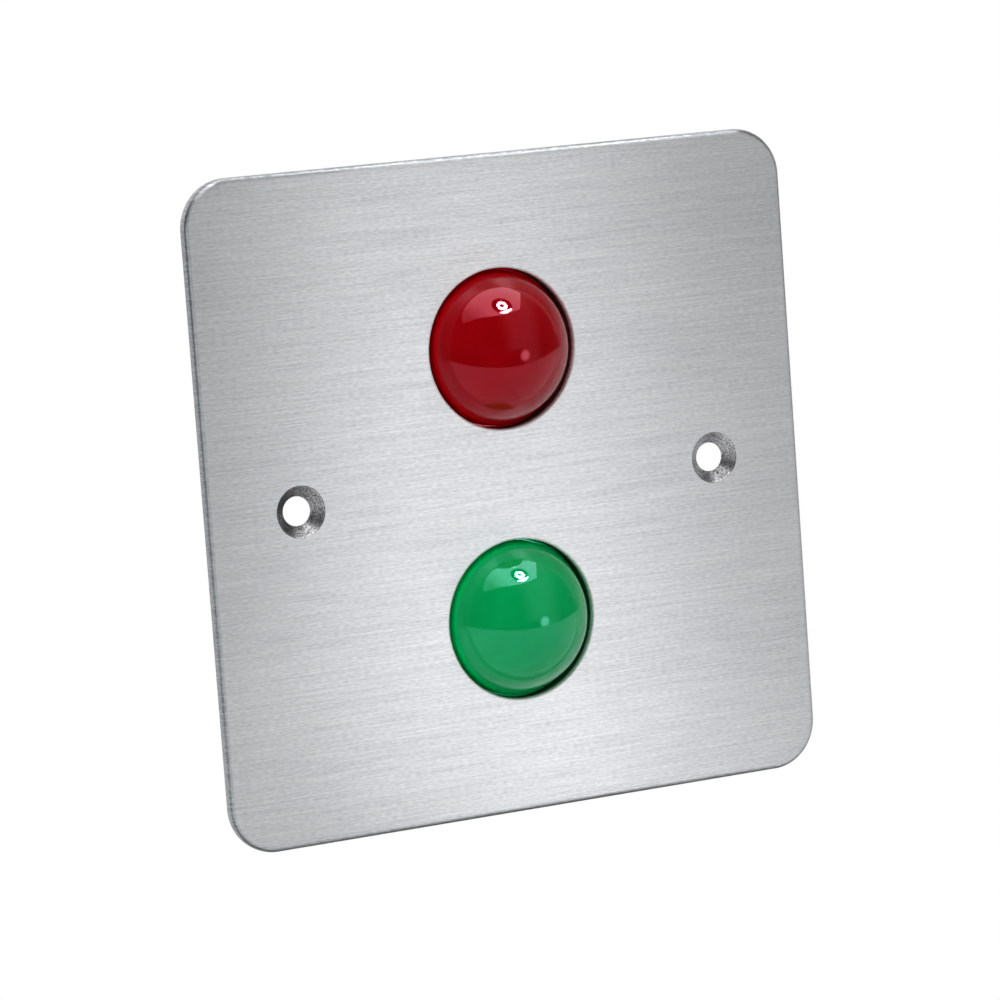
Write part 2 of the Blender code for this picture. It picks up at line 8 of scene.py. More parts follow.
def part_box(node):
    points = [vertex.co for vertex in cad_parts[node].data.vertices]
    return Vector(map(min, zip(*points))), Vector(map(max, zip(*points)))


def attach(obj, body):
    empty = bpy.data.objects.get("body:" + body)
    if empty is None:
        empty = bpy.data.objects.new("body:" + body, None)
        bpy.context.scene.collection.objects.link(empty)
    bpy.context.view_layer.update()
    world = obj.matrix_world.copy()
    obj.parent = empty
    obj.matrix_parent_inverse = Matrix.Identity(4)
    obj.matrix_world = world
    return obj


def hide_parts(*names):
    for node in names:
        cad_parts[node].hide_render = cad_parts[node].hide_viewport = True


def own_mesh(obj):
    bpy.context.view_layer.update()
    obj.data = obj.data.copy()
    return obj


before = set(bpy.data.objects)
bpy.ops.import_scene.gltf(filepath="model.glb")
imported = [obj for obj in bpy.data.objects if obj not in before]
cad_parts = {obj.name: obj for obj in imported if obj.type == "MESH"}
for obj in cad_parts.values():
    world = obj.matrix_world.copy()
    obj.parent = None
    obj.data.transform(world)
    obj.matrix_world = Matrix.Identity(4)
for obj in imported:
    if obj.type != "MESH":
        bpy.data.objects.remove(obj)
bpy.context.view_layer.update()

# Lengths are in metres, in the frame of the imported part: +Y runs into the wall and +Z is up.
MM = 0.001
COLOURS = ("red", "green")

# Plate
PLATE_CORNER = 6.3 * MM
PLATE_FRONT_ROUND = 0.8 * MM
PLATE_BACK_ROUND = 0.12 * MM
HOLE_GAP = 0.3 * MM
HOLE_ROUND = 0.25 * MM
FIXING_PLACE = 30.15 * MM
FIXING_RADIUS = 1.9 * MM
SINK_RADIUS = 3.35 * MM
SINK_ROUND = 0.08 * MM

# Dome and what moves with it
LENS_RADIUS = 10.15 * MM
LENS_WALL = 1.6 * MM
FLANGE_THICKNESS = 1.2 * MM
FLANGE_GAP = 0.2 * MM
POST_RADIUS = 2.4 * MM
DISC_THICKNESS = 1.4 * MM
SPRING_WIRE = 0.5 * MM
SPRING_TURNS = 4
# Painted light: how much brighter the dome's colour gets inside its hole
GAP_PAINTED_LIGHT = 3.2

# Housing
HOUSING_RADIUS = 13.55 * MM
SLEEVE_RADIUS = 12.05 * MM
BARREL_RADIUS = 10.4 * MM
STOP_LEDGE = 5.0 * MM
FLOOR_THICKNESS = 1.3 * MM
POST_HOLE = 2.65 * MM
EAR_RADIUS = 3.7 * MM
EAR_FRONT = 0.5 * MM
EAR_BACK = 3.0 * MM
RIB_HEIGHT = 0.35 * MM
RIB_ANGLES = (45, 65, 90, 115, 135, 225, 245, 270, 295, 315)
RIB_HALF_ANGLE = 2.6
STUD_HOLE = 1.7 * MM
NUT_BORE = 1.55 * MM
LED_HOLE = 1.75 * MM

# Board and what is soldered to it
WAIST_HALF_WIDTH = 14.0 * MM
WAIST_HALF_HEIGHT = 9.0 * MM
WAIST_BEND = 1.2 * MM
BOARD_SHOULDER = 0.8 * MM
BOARD_CORNER = 2.0 * MM
BOARD_EDGE = 0.08 * MM
TRACK_HEIGHT = 0.04 * MM
TRACK_LAP = 0.005 * MM
TRACK_WIDTH = 0.9 * MM
PRINT_HEIGHT = 0.06 * MM
PRINT_WIDTH = 0.22 * MM
PAD_RADIUS = 1.05 * MM
LEAD_SPACING = 1.27 * MM
SWITCH_PIN_X = 3.25 * MM
SWITCH_PIN_Z = 2.25 * MM
TERMINAL_PITCH = 5.0 * MM
TERMINAL_CHAMFER = 1.8 * MM
WIRE_WIDTH = 4.0 * MM
WIRE_FLOOR = 1.6 * MM
WIRE_DEPTH = 4.4 * MM
WIRE_REAR_WALL = 1.4 * MM
SCREW_WELL = 1.85 * MM

# Fasteners
THREAD_PITCH = 0.5 * MM
THREAD_DEPTH = 0.26 * MM
THREAD_START = 19.0 * MM

# How far a cutting tool reaches past the faces that it cuts
PAST = 1.0 * MM

# Facets
ROUND_SIDES = 128
SMALL_SIDES = 40
CORNER_STEPS = 12
EDGE_STEPS = 6
TIP = 1e-7

# Camera, fitted to the plate's outline and holes in the photo
CAMERA_PLACE = (-0.26679, -0.53439, 0.07037)
CAMERA_AIM = (-0.001185, 0.0, -0.002041)
CAMERA_ROLL = math.radians(-4.1945)
CAMERA_LENS = 166.53

# Studio
FLOOR_LEVEL = -0.9
FLOOR_FRONT = -0.45
FLOOR_SIZE = 2.4
SHEET_PLACE = (0.115, 0.640, -0.048)
SHEET_RADIUS = 0.788
PAPER_LEVEL = 0.70
# Painted shadow on the table under the plate's foot: its level, and where it fades out
FOOT_SHADOW_LEVEL = 0.25
FOOT_SHADE_START, FOOT_SHADE_END = 3.0 * MM, 5.0 * MM
FRONT_LEFT_LEVEL, FRONT_RIGHT_LEVEL, RIGHT_LEVEL = 0.07, 0.48, 0.08
BACK_LEFT_LEVEL, BACK_RIGHT_LEVEL, BACKDROP_LEVEL = 0.55, 0.25, 1.0
SOFTBOX_HEIGHT = 0.30
SOFTBOX_OUTLINE = (
    (0.216, 0.012), (0.145, 0.037), (0.07, 0.042), (0.0, 0.031), (-0.12, 0.012), (-0.24, -0.02),
    (-0.335, -0.09), (-0.245, -0.148), (-0.165, -0.18), (-0.10, -0.212), (-0.045, -0.23), (0.03, -0.237),
    (0.11, -0.214), (0.187, -0.177), (0.195, -0.088),
)
SOFTBOX_STRENGTH = 3.2
LAMP_PLACE = (0.025, -0.089, 0.200)
LAMP_RADIUS = 0.0245
LAMP_DOT = 0.010
LAMP_RING = 0.046
LAMP_STEP = 0.002
LAMP_STRENGTH = 90.0
LAMP_DOT_STRENGTH = 0.4
FILL_PLACE = (0.15, -0.315, -0.048)
FILL_RADIUS = 0.056
FILL_STRENGTH = 3.7
WALLS = {
    "Wall_left": ((-0.66, -0.58, -0.12), 0.55, 0.75),
    "Wall_right": ((0.88, -0.42, -0.10), 0.40, 0.70),
    "Wall_front": ((-0.06, -0.95, 0.0), 0.32, 1.10),
}
GLEAM_PLACE = (0.016, -0.033, -0.0465)
GLEAM_HALF_WIDTH = 0.060
GLEAM_HALF_DEPTH = 0.025
GLEAM_STRENGTH = 0.85
SOFT_LIGHTS = {
    "Soft_left": ((-0.75, -0.30, 0.10), 0.40, 3.2),
    "Soft_right": ((0.55, -0.60, 0.0), 0.40, 1.5),
    "Soft_low": ((0.15, -0.60, -0.28), 0.30, 2.4),
    "Soft_back": ((0.0, 0.90, 0.25), 0.45, 3.0),
}


def arc(radius_at, y_at, radius, start, end, steps=EDGE_STEPS):
    """Points (radius, y) along an arc. Angles are in degrees: 0 points outwards and 90 along +Y."""
    points = []
    for step in range(steps + 1):
        turn = math.radians(start + (end - start) * step / steps)
        points.append((radius_at + radius * math.cos(turn), y_at + radius * math.sin(turn)))
    return points


def ring_of(reach_at, y, centre, sides):
    """Loop about the Y axis through centre, which is (x, z), with its reach at each step round it."""
    points = []
    for step in range(sides):
        turn = 2 * math.pi * step / sides
        reach = reach_at(step)
        points.append((centre[0] + reach * math.cos(turn), y, centre[1] + reach * math.sin(turn)))
    return points


def circle(radius, y, centre=(0.0, 0.0), sides=ROUND_SIDES):
    return ring_of(lambda step: radius, y, centre, sides)


def round_rim(radius, y_front, y_back, corner, steps=4):
    """Points (radius, y) down the side of a disc, round its front and back edges."""
    rim = arc(radius - corner, y_front + corner, corner, -90.0, 0.0, steps)
    return rim + arc(radius - corner, y_back - corner, corner, 0.0, 90.0, steps)


def add_loft(bm, loops, closed=False):
    """Skin over loops of equal count, capped at its ends, or joined end to end when closed.

    A loop of one point is a tip.
    """
    rings = [[bm.verts.new(point) for point in loop] for loop in loops]
    count = max(len(ring) for ring in rings)
    pairs = list(zip(rings, rings[1:]))
    if closed:
        pairs.append((rings[-1], rings[0]))
    for near, far in pairs:
        for step in range(count):
            after = step + 1
            corners = [near[step % len(near)], near[after % len(near)]]
            corners += [far[after % len(far)], far[step % len(far)]]
            bm.faces.new(list(dict.fromkeys(corners)))
    if not closed:
        for ring in (rings[0], rings[-1]):
            if len(ring) > 2:
                bm.faces.new(ring)


def add_turned(bm, profile, centre=(0.0, 0.0), sides=ROUND_SIDES, closed=False):
    """Profile of (radius, y) points turned about the Y axis through centre, which is (x, z)."""
    loops = []
    for radius, y in profile:
        if radius < TIP:
            loops.append([(centre[0], y, centre[1])])
        else:
            loops.append(circle(radius, y, centre, sides))
    add_loft(bm, loops, closed)


def add_peg(bm, radius, y_front, y_back, centre):
    """Round bar that drills a hole along Y."""
    add_turned(bm, [(0.0, y_front), (radius, y_front), (radius, y_back), (0.0, y_back)], centre, SMALL_SIDES)


def rounded_outline(half_x, half_z, radius, steps=CORNER_STEPS):
    """Points (x, z) of a rectangle with round corners."""
    points = []
    for quarter, (x, z) in enumerate(((1, 1), (-1, 1), (-1, -1), (1, -1))):
        start = 90.0 * quarter
        points += arc(x * (half_x - radius), z * (half_z - radius), radius, start, start + 90.0, steps)
    return points


def edge_insets(edge, steps=EDGE_STEPS):
    """Pairs (inset, depth) down a quarter-round edge, from the flat face to the side."""
    turns = [math.pi / 2 * step / steps for step in range(steps + 1)]
    return [(edge * (1 - math.sin(turn)), edge * (1 - math.cos(turn))) for turn in turns]


def edge_levels(y_front, y_back, front_edge, back_edge, steps=EDGE_STEPS):
    """Pairs (inset, y) from the front face round the front edge, down the side and round the back edge."""
    levels = [(inset, y_front + depth) for inset, depth in edge_insets(front_edge, steps)]
    levels += [(inset, y_back - depth) for inset, depth in reversed(edge_insets(back_edge, steps))]
    return levels


def add_slab(bm, low, high, corner, front_edge, back_edge, corner_steps=CORNER_STEPS, edge_steps=EDGE_STEPS):
    """Block with round corners seen along Y, and rounded front and back edges."""
    centre = (low + high) / 2
    half = (high - low) / 2
    loops = []
    for inset, y in edge_levels(low.y, high.y, front_edge, back_edge, edge_steps):
        radius = max(corner - inset, corner / 10)
        outline = rounded_outline(half.x - inset, half.z - inset, radius, corner_steps)
        loops.append([(centre.x + x, y, centre.z + z) for x, z in outline])
    add_loft(bm, loops)


def add_box(bm, low, high, edge):
    """Small block with every edge rounded."""
    add_slab(bm, Vector(low), Vector(high), edge, edge, edge, corner_steps=3, edge_steps=3)


def add_strip(bm, start, end, width, y_front, y_back):
    """Flat strip with round ends from start to end, which are (x, z) points."""
    along = math.degrees(math.atan2(end[1] - start[1], end[0] - start[0]))
    outline = arc(*end, width / 2, along - 90.0, along + 90.0)
    outline += arc(*start, width / 2, along + 90.0, along + 270.0)
    add_loft(bm, [[(x, y, z) for x, z in outline] for y in (y_front, y_back)])


def add_tube(bm, path, radius, sides=12):
    """Round wire along a path of points, capped at both ends."""
    side = None
    loops = []
    for index, point in enumerate(path):
        before = path[max(index - 1, 0)]
        after = path[min(index + 1, len(path) - 1)]
        along = (after - before).normalized()
        if side is None:
            side = along.orthogonal().normalized()
        side = (side - along * side.dot(along)).normalized()
        up = along.cross(side)
        turns = [2 * math.pi * step / sides for step in range(sides)]
        loops.append([point + radius * (side * math.cos(turn) + up * math.sin(turn)) for turn in turns])
    add_loft(bm, loops)


def add_hexagon(bm, centre, width, bore, y_front, y_back, sides=72):
    """Hexagon bar with a round bore, its corners turned off at both ends."""
    reach = width / math.sqrt(3)
    inner = width / 2 * 0.97
    steps = 4
    limits = [inner + (reach - inner) * step / steps for step in range(steps + 1)]
    slope = math.tan(math.radians(30))
    levels = [(limit, y_front + (limit - inner) * slope) for limit in limits]
    levels += [(limit, y_back - (limit - inner) * slope) for limit in reversed(limits)]
    turns = [2 * math.pi * step / sides for step in range(sides)]
    flats = [width / 2 / math.cos((turn % (math.pi / 3)) - math.pi / 6) for turn in turns]
    loops = [ring_of(lambda step: min(flats[step], limit), y, centre, sides) for limit, y in levels]
    flare = 0.25 * MM
    bored = [(bore + flare, y_back), (bore, y_back - flare), (bore, y_front + flare), (bore + flare, y_front)]
    loops += [circle(radius, y, centre, sides) for radius, y in bored]
    add_loft(bm, loops, closed=True)


def new_piece(name, bm, *materials, sharp=35.0):
    """Object from a finished bmesh, smooth except at edges sharper than the given angle."""
    bmesh.ops.recalc_face_normals(bm, faces=bm.faces)
    mesh = bpy.data.meshes.new(name)
    bm.to_mesh(mesh)
    bm.free()
    for material in materials:
        mesh.materials.append(material)
    mesh.shade_smooth()
    mesh.set_sharp_from_angle(angle=math.radians(sharp))
    piece = bpy.data.objects.new(name, mesh)
    bpy.context.scene.collection.objects.link(piece)
    return piece


def combine(piece, bm, operation="DIFFERENCE", material=None, sharp=35.0):
    """Cuts a closed bmesh out of a piece, or joins it on, and keeps the result as the piece's mesh."""
    tool = new_piece(piece.name + "_tool", bm, *filter(None, [material]))
    step = piece.modifiers.new(operation, "BOOLEAN")
    step.operation = operation
    step.solver = "EXACT"
    step.object = tool
    if material:
        step.material_mode = "TRANSFER"
    made = bpy.data.meshes.new_from_object(piece.evaluated_get(bpy.context.evaluated_depsgraph_get()))
    piece.modifiers.clear()
    piece.data = made
    bpy.data.objects.remove(tool)
    made.shade_smooth()
    made.set_sharp_from_angle(angle=math.radians(sharp))


def even_flats(piece):
    """Keeps large flat faces flat where rounded edges run into them."""
    weighted = piece.modifiers.new("Even_flats", "WEIGHTED_NORMAL")
    weighted.mode = "FACE_AREA"
    weighted.weight = 100
    weighted.keep_sharp = True


def place_piece(piece, body, slot, *nodes):
    """Rides a piece on its body and hides the plain solids that it stands for."""
    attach(piece, body)
    if nodes:
        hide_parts(*nodes)


def middle(solid):
    low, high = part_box(solid)
    return (low + high) / 2


def round_box(solid):
    """Lowest and highest corner of a round solid's box, and its radius."""
    low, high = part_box(solid)
    return low, high, (high.x - low.x) / 2


def add_piece(name, bm, finish, *solids, slot=None, body="base", sharp=35.0):
    """Piece that stands for a solid or for none. Its slot is not used."""
    piece = new_piece(name, bm, FINISHES[finish], sharp=sharp)
    place_piece(piece, body, slot or finish, *solids)
    return piece


def add_turned_piece(name, profile, finish, solid, body="base", sides=ROUND_SIDES, closed=False):
    """Piece turned about the middle of the solid that it stands for."""
    at = middle(solid)
    bm = bmesh.new()
    add_turned(bm, profile, (at.x, at.z), sides, closed)
    return add_piece(name, bm, finish, solid, body=body)


# Finishes


def node(tree, kind, inputs=None, **settings):
    """Shader node whose inputs are plain values or other nodes' outputs."""
    made = tree.nodes.new("ShaderNode" + kind)
    for name, value in settings.items():
        setattr(made, name, value)
    for socket, value in (inputs or {}).items():
        if isinstance(value, bpy.types.NodeSocket):
            tree.links.new(value, made.inputs[socket])
        else:
            made.inputs[socket].default_value = value
    return made


def surface(name, **values):
    """Principled material with its plain values on the shader's own sockets."""
    made = bpy.data.materials.new(name)
    made.use_nodes = True
    shader = made.node_tree.nodes["Principled BSDF"]
    for socket, value in values.items():
        shader.inputs[socket.replace("_", " ")].default_value = value
    return made, made.node_tree, shader


def place_of(tree):
    return node(tree, "TexCoord").outputs["Object"]


def axis_of(tree, axis):
    return node(tree, "SeparateXYZ", {0: place_of(tree)}).outputs[axis]


def noise(tree, cycles, detail=3.0):
    """Noise over a piece's own coordinates, with its cycles per metre, or those along X, Y and Z."""
    cycles = (cycles,) * 3 if isinstance(cycles, float) else cycles
    stretched = node(tree, "VectorMath", {0: place_of(tree), 1: cycles}, operation="MULTIPLY")
    inputs = {"Vector": stretched.outputs["Vector"], "Scale": 1.0, "Detail": detail}
    return node(tree, "TexNoise", inputs).outputs["Fac"]


def spread(tree, value, low, high, start=0.3, end=0.7):
    """Maps a value between start and end onto low to high."""
    inputs = {"Value": value, "From Min": start, "From Max": end, "To Min": low, "To Max": high}
    return node(tree, "MapRange", inputs).outputs["Result"]


def tint(tree, factor, dark, light):
    inputs = {0: factor}
    for socket, colour in ((6, dark), (7, light)):
        inputs[socket] = colour if isinstance(colour, bpy.types.NodeSocket) else (*colour, 1.0)
    return node(tree, "Mix", inputs, data_type="RGBA").outputs[2]


def shades(tree, value, dark, light, start=0.3, end=0.7):
    """Colour that goes from dark to light as a value goes from start to end."""
    return tint(tree, spread(tree, value, 0.0, 1.0, start, end), dark, light)


def blend(tree, share, first, second):
    return node(tree, "Mix", {0: share, 2: first, 3: second}, data_type="FLOAT").outputs[0]


def maths(tree, operation, *values):
    return node(tree, "Math", dict(enumerate(values)), operation=operation).outputs[0]


def average(tree, first, second, share=0.5):
    """Weighted mean of two values, with the second one's share."""
    kept = maths(tree, "MULTIPLY", first, 1.0 - share)
    return maths(tree, "ADD", kept, maths(tree, "MULTIPLY", second, share))


def facing_wall(tree):
    """1 on faces that look along Y, and 0 on those at right angles to it."""
    normal = node(tree, "NewGeometry").outputs["Normal"]
    return maths(tree, "ABSOLUTE", node(tree, "SeparateXYZ", {0: normal}).outputs["Y"])


def radius_from(tree, x, z):
    """Distance seen along Y from (x, z), or from its mirror images left or below, whichever is nearer."""
    axes = node(tree, "SeparateXYZ", {0: place_of(tree)}).outputs
    across = maths(tree, "SUBTRACT", maths(tree, "ABSOLUTE", axes["X"]), x)
    upwards = maths(tree, "SUBTRACT", maths(tree, "ABSOLUTE", axes["Z"]), z)
    squares = maths(tree, "ADD", maths(tree, "POWER", across, 2.0), maths(tree, "POWER", upwards, 2.0))
    return maths(tree, "SQRT", squares)


def coat(tree, shader, colour, roughness, height, depth):
    """Links a finish's colour, roughness and relief to its shader."""
    tree.links.new(colour, shader.inputs["Base Color"])
    tree.links.new(roughness, shader.inputs["Roughness"])
    relief = node(tree, "Bump", {"Height": height, "Strength": 1.0, "Distance": depth})
    tree.links.new(relief.outputs["Normal"], shader.inputs["Normal"])


def grained(name, dark, light, roughness, grain, depth, patches=250.0, **values):
    """Finish with slow patches of colour, and a fine grain in its roughness and its relief, in mm."""
    made, tree, shader = surface(name, **values)
    fine = noise(tree, grain, 4.0)
    colour = shades(tree, noise(tree, patches), dark, light)
    coat(tree, shader, colour, spread(tree, fine, *roughness), fine, depth * MM)
    return made


def brushed_steel():
    """Stainless steel brushed along the plate's width, with smoother edges where the strokes end, and painted
    shade that darkens those edges.
    """
    made, tree, shader = surface("Brushed_steel", Metallic=1.0, Anisotropic=0.92)
    short = noise(tree, (1300.0, 1300.0, 5000.0), 0.0)
    long = noise(tree, (120.0, 120.0, 4600.0), 1.0)
    scratches = noise(tree, (30.0, 30.0, 4200.0), 1.0)
    streaks = noise(tree, (14.0, 14.0, 420.0), 2.0)
    haze = noise(tree, 50.0, 2.0)
    strokes = average(tree, short, average(tree, long, scratches, 0.4), 0.62)
    worn = average(tree, strokes, average(tree, streaks, haze), 0.2)
    edge = spread(tree, facing_wall(tree), 1.0, 0.0, 0.75, 0.99)
    flat = shades(tree, worn, (0.515, 0.525, 0.545), (0.742, 0.75, 0.768), 0.34, 0.66)
    # Painted shade: the rounded edges and sides get this darker colour in place of their shading.
    ends = shades(tree, average(tree, short, long), (0.28, 0.29, 0.31), (0.46, 0.475, 0.50), 0.38, 0.62)
    colour = tint(tree, edge, flat, ends)
    rough = average(tree, spread(tree, strokes, 0.37, 0.31), spread(tree, haze, 0.31, 0.37))
    rubbed = maths(tree, "SUBTRACT", rough, maths(tree, "MULTIPLY", edge, 0.08))
    coat(tree, shader, colour, rubbed, strokes, 0.003 * MM)
    across = node(tree, "CombineXYZ", {"Z": 1.0})
    tree.links.new(across.outputs[0], shader.inputs["Tangent"])
    return made


def cut_steel():
    """Bare cut edge round the button holes, coarser than the face, with painted shade that darkens it inside
    its rounded lip.
    """
    made, tree, shader = surface("Cut_steel", Metallic=0.35)
    chatter = noise(tree, (2200.0, 700.0, 2200.0), 3.0)
    bright = shades(tree, chatter, (0.46, 0.47, 0.48), (0.66, 0.67, 0.68))
    # Painted shade: the wall goes nearly black deeper into the hole, where the dome shades it.
    depth = spread(tree, axis_of(tree, "Y"), 0.0, 1.0, -0.95 * MM, -0.7 * MM)
    colour = tint(tree, depth, bright, (0.05, 0.05, 0.052))
    coat(tree, shader, colour, spread(tree, chatter, 0.62, 0.48), chatter, 0.02 * MM)
    return made


def machined_steel():
    """Turned steel of the countersinks, with rings round each screw hole."""
    made, tree, shader = surface("Machined_steel", Metallic=1.0)
    radius = maths(tree, "MULTIPLY", radius_from(tree, FIXING_PLACE, 0.0), 7000.0)
    line = node(tree, "CombineXYZ", {"X": radius}).outputs[0]
    rings = node(tree, "TexNoise", {"Vector": line, "Scale": 1.0, "Detail": 2.0}).outputs["Fac"]
    mottle = noise(tree, 4200.0, 2.0)
    marks = average(tree, rings, mottle, 0.6)
    colour = shades(tree, marks, (0.10, 0.10, 0.105), (0.56, 0.565, 0.575), 0.38, 0.62)
    coat(tree, shader, colour, spread(tree, marks, 0.42, 0.26), marks, 0.05 * MM)
    return made


def lens_finish(name, dark, light, gloss, scatter):
    """Polished, translucent plastic, with painted light that brightens it where it dips into its hole, and
    fine rubs and specks of dust.
    """
    made, tree, shader = surface(
        name, IOR=1.49, Specular_IOR_Level=1.0, Specular_Tint=(*gloss, 1.0),
        Subsurface_Weight=0.8, Subsurface_Radius=scatter, Subsurface_Scale=0.7 * MM,
    )
    cloud = noise(tree, 140.0, 2.0)
    rubs = noise(tree, (2600.0, 700.0, 500.0), 3.0)
    cells = node(tree, "TexVoronoi", {"Vector": place_of(tree), "Scale": 900.0})
    dust = spread(tree, cells.outputs["Distance"], 1.0, 0.0, 0.03, 0.06)
    body = shades(tree, cloud, dark, light)
    # Painted light: the colour is brightened where the dome dips into its hole, against the shade there.
    glow = spread(tree, axis_of(tree, "Y"), 1.0, GAP_PAINTED_LIGHT, -1.8 * MM, -0.2 * MM)
    colour = node(tree, "VectorMath", {0: body, "Scale": glow}, operation="SCALE").outputs["Vector"]
    rough = maths(tree, "ADD", spread(tree, rubs, 0.02, 0.05), maths(tree, "MULTIPLY", dust, 0.3))
    coat(tree, shader, colour, rough, rubs, 0.0008 * MM)
    return made


def board_finish():
    """Solder mask over a woven laminate whose bare edge shows its resin."""
    made, tree, shader = surface("Board_laminate", IOR=1.5)
    weave = noise(tree, (1800.0, 1800.0, 260.0), 2.0)
    weft = noise(tree, (260.0, 1800.0, 1800.0), 2.0)
    cloth = average(tree, weave, weft)
    mask = shades(tree, cloth, (0.008, 0.085, 0.035), (0.014, 0.125, 0.055))
    resin = shades(tree, weave, (0.30, 0.25, 0.12), (0.42, 0.37, 0.20))
    colour = shades(tree, facing_wall(tree), resin, mask, 0.4, 0.6)
    coat(tree, shader, colour, spread(tree, cloth, 0.28, 0.42), cloth, 0.01 * MM)
    return made


# Name, darker and lighter colour, roughness range, grain in cycles per metre, relief in mm and any patches
GRAINED = {
    "plated": (
        "Zinc_plate", (0.56, 0.57, 0.58), (0.74, 0.74, 0.72), (0.22, 0.38), (2400.0, 900.0, 2400.0), 0.006
    ),
    "brass": ("Brass", (0.58, 0.40, 0.15), (0.74, 0.54, 0.24), (0.24, 0.40), (900.0, 6500.0, 900.0), 0.006),
    "solder": ("Solder", (0.55, 0.55, 0.56), (0.76, 0.76, 0.77), (0.16, 0.36), 3000.0, 0.015, 900.0),
    "diffuser": ("Opal", (0.78, 0.78, 0.74), (0.86, 0.86, 0.83), (0.40, 0.55), 6000.0, 0.004),
    "housing": ("Black_moulding", (0.012, 0.012, 0.013), (0.022, 0.022, 0.023), (0.42, 0.58), 7000.0, 0.012),
    "switch": ("Switch_moulding", (0.016, 0.016, 0.018), (0.030, 0.030, 0.031), (0.35, 0.50), 8000.0, 0.010),
    "seal": ("Black_rubber", (0.008, 0.008, 0.008), (0.016, 0.016, 0.016), (0.62, 0.82), 6000.0, 0.015),
    "red_lamp": ("Red_lamp", (0.50, 0.02, 0.02), (0.62, 0.05, 0.04), (0.05, 0.12), 3000.0, 0.002),
    "green_lamp": ("Green_lamp", (0.03, 0.42, 0.10), (0.08, 0.52, 0.16), (0.05, 0.12), 3000.0, 0.002),
    "track": ("Masked_copper", (0.030, 0.20, 0.085), (0.045, 0.25, 0.11), (0.26, 0.40), 2500.0, 0.006),
    "print": ("White_print", (0.66, 0.66, 0.62), (0.80, 0.80, 0.77), (0.50, 0.70), 5000.0, 0.006, 1500.0),
    "terminal": ("Terminal_moulding", (0.035, 0.21, 0.095), (0.055, 0.27, 0.125), (0.36, 0.52), 6500.0, 0.01),
    "resistor": ("Resistor_glaze", (0.018, 0.018, 0.019), (0.032, 0.032, 0.034), (0.22, 0.38), 5000.0, 0.006),
}
METAL = {"Metallic": 1.0}
TINTED = {"Transmission_Weight": 0.6, "IOR": 1.5}
SHADER_VALUES = {
    "plated": METAL, "brass": METAL, "solder": METAL, "diffuser": {"Subsurface_Weight": 0.2},
    "red_lamp": TINTED, "green_lamp": TINTED,
}
FINISHES = {slot: grained(*values, **SHADER_VALUES.get(slot, {})) for slot, values in GRAINED.items()}
FINISHES |= {
    "plate": brushed_steel(),
    "cut": cut_steel(),
    "sink": machined_steel(),
    "board": board_finish(),
    "red_lens": lens_finish(
        "Red_lens", (0.225, 0.0, 0.001), (0.26, 0.0, 0.002), (0.95, 0.19, 0.28), (1.0, 0.2, 0.2)
    ),
    "green_lens": lens_finish(
        "Green_lens", (0.0, 0.29, 0.072), (0.0, 0.33, 0.086), (0.26, 0.9, 0.8), (0.25, 1.0, 0.5)
    ),
}


# Pieces


def make_plate():
    """Steel plate with rounded front edges, two button holes and two countersunk fixing holes."""
    low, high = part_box("faceplate")
    bm = bmesh.new()
    add_slab(bm, low, high, PLATE_CORNER, PLATE_FRONT_ROUND, PLATE_BACK_ROUND, 20, 10)
    plate = new_piece("Faceplate_steel", bm, FINISHES["plate"])
    hole = LENS_RADIUS + HOLE_GAP
    profile = [(0.0, low.y - PAST), (hole + HOLE_ROUND, low.y - PAST)]
    profile += [(hole + inset, low.y + depth) for inset, depth in edge_insets(HOLE_ROUND)]
    profile += [(hole, PAST), (0.0, PAST)]
    holes = bmesh.new()
    for colour in COLOURS:
        add_turned(holes, profile, (0.0, middle(f"{colour}_lens").z))
    combine(plate, holes, material=FINISHES["cut"])
    sink = [
        (0.0, low.y - PAST),
        (SINK_RADIUS + PAST, low.y - PAST),
        (SINK_RADIUS + SINK_ROUND, low.y - SINK_ROUND / 2),
        (SINK_RADIUS, low.y + SINK_ROUND / 2),
        (FIXING_RADIUS, low.y + SINK_RADIUS - FIXING_RADIUS),
        (FIXING_RADIUS, PAST),
        (0.0, PAST),
    ]
    sinks = bmesh.new()
    for side in (-1, 1):
        add_turned(sinks, sink, (side * FIXING_PLACE, 0.0), 96)
    combine(plate, sinks, material=FINISHES["sink"])
    even_flats(plate)
    place_piece(plate, "base", "plate", "faceplate")
    return plate


def make_lens(colour):
    """Dome, retaining flange and skirt, hollow inside."""
    name = f"{colour}_lens"
    low, high, flange = round_box(name)
    centre_y = low.y + LENS_RADIUS
    flange_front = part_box(f"{colour}_seal")[1].y + FLANGE_GAP
    flange_back = flange_front + FLANGE_THICKNESS
    meet = math.degrees(math.asin((flange_front - centre_y) / LENS_RADIUS))
    inside = LENS_RADIUS - LENS_WALL
    corner = 0.2 * MM
    profile = arc(0.0, centre_y, LENS_RADIUS, -90.0, meet, 48)
    profile += round_rim(flange, flange_front, flange_back, corner)
    profile.append((LENS_RADIUS, flange_back))
    profile += arc(LENS_RADIUS - corner, high.y - corner, corner, 0.0, 90.0, 4)
    profile.append((inside, high.y))
    profile += arc(0.0, centre_y, inside, 0.0, -90.0, 24)
    return add_turned_piece(f"{colour}_dome", profile, name, name, f"{colour}_button")


def make_diffuser(colour):
    """Opal disc with a rounded post and a groove round it."""
    name = f"{colour}_diffuser"
    low, high, radius = round_box(name)
    back = low.y + DISC_THICKNESS
    groove = back - 0.4 * MM
    fillet = 0.15 * MM
    profile = [(0.0, low.y), *round_rim(radius, low.y, back, fillet)]
    profile += [(radius - 1.2 * MM, back), (radius - 1.5 * MM, groove)]
    profile += [(POST_RADIUS + 2.0 * MM, groove), (POST_RADIUS + 1.7 * MM, back), (POST_RADIUS, back)]
    profile += arc(POST_RADIUS - 2 * fillet, high.y - 2 * fillet, 2 * fillet, 0.0, 90.0, 4)
    profile.append((0.0, high.y))
    add_turned_piece(f"{colour}_opal_disc", profile, "diffuser", name, f"{colour}_button", 96)


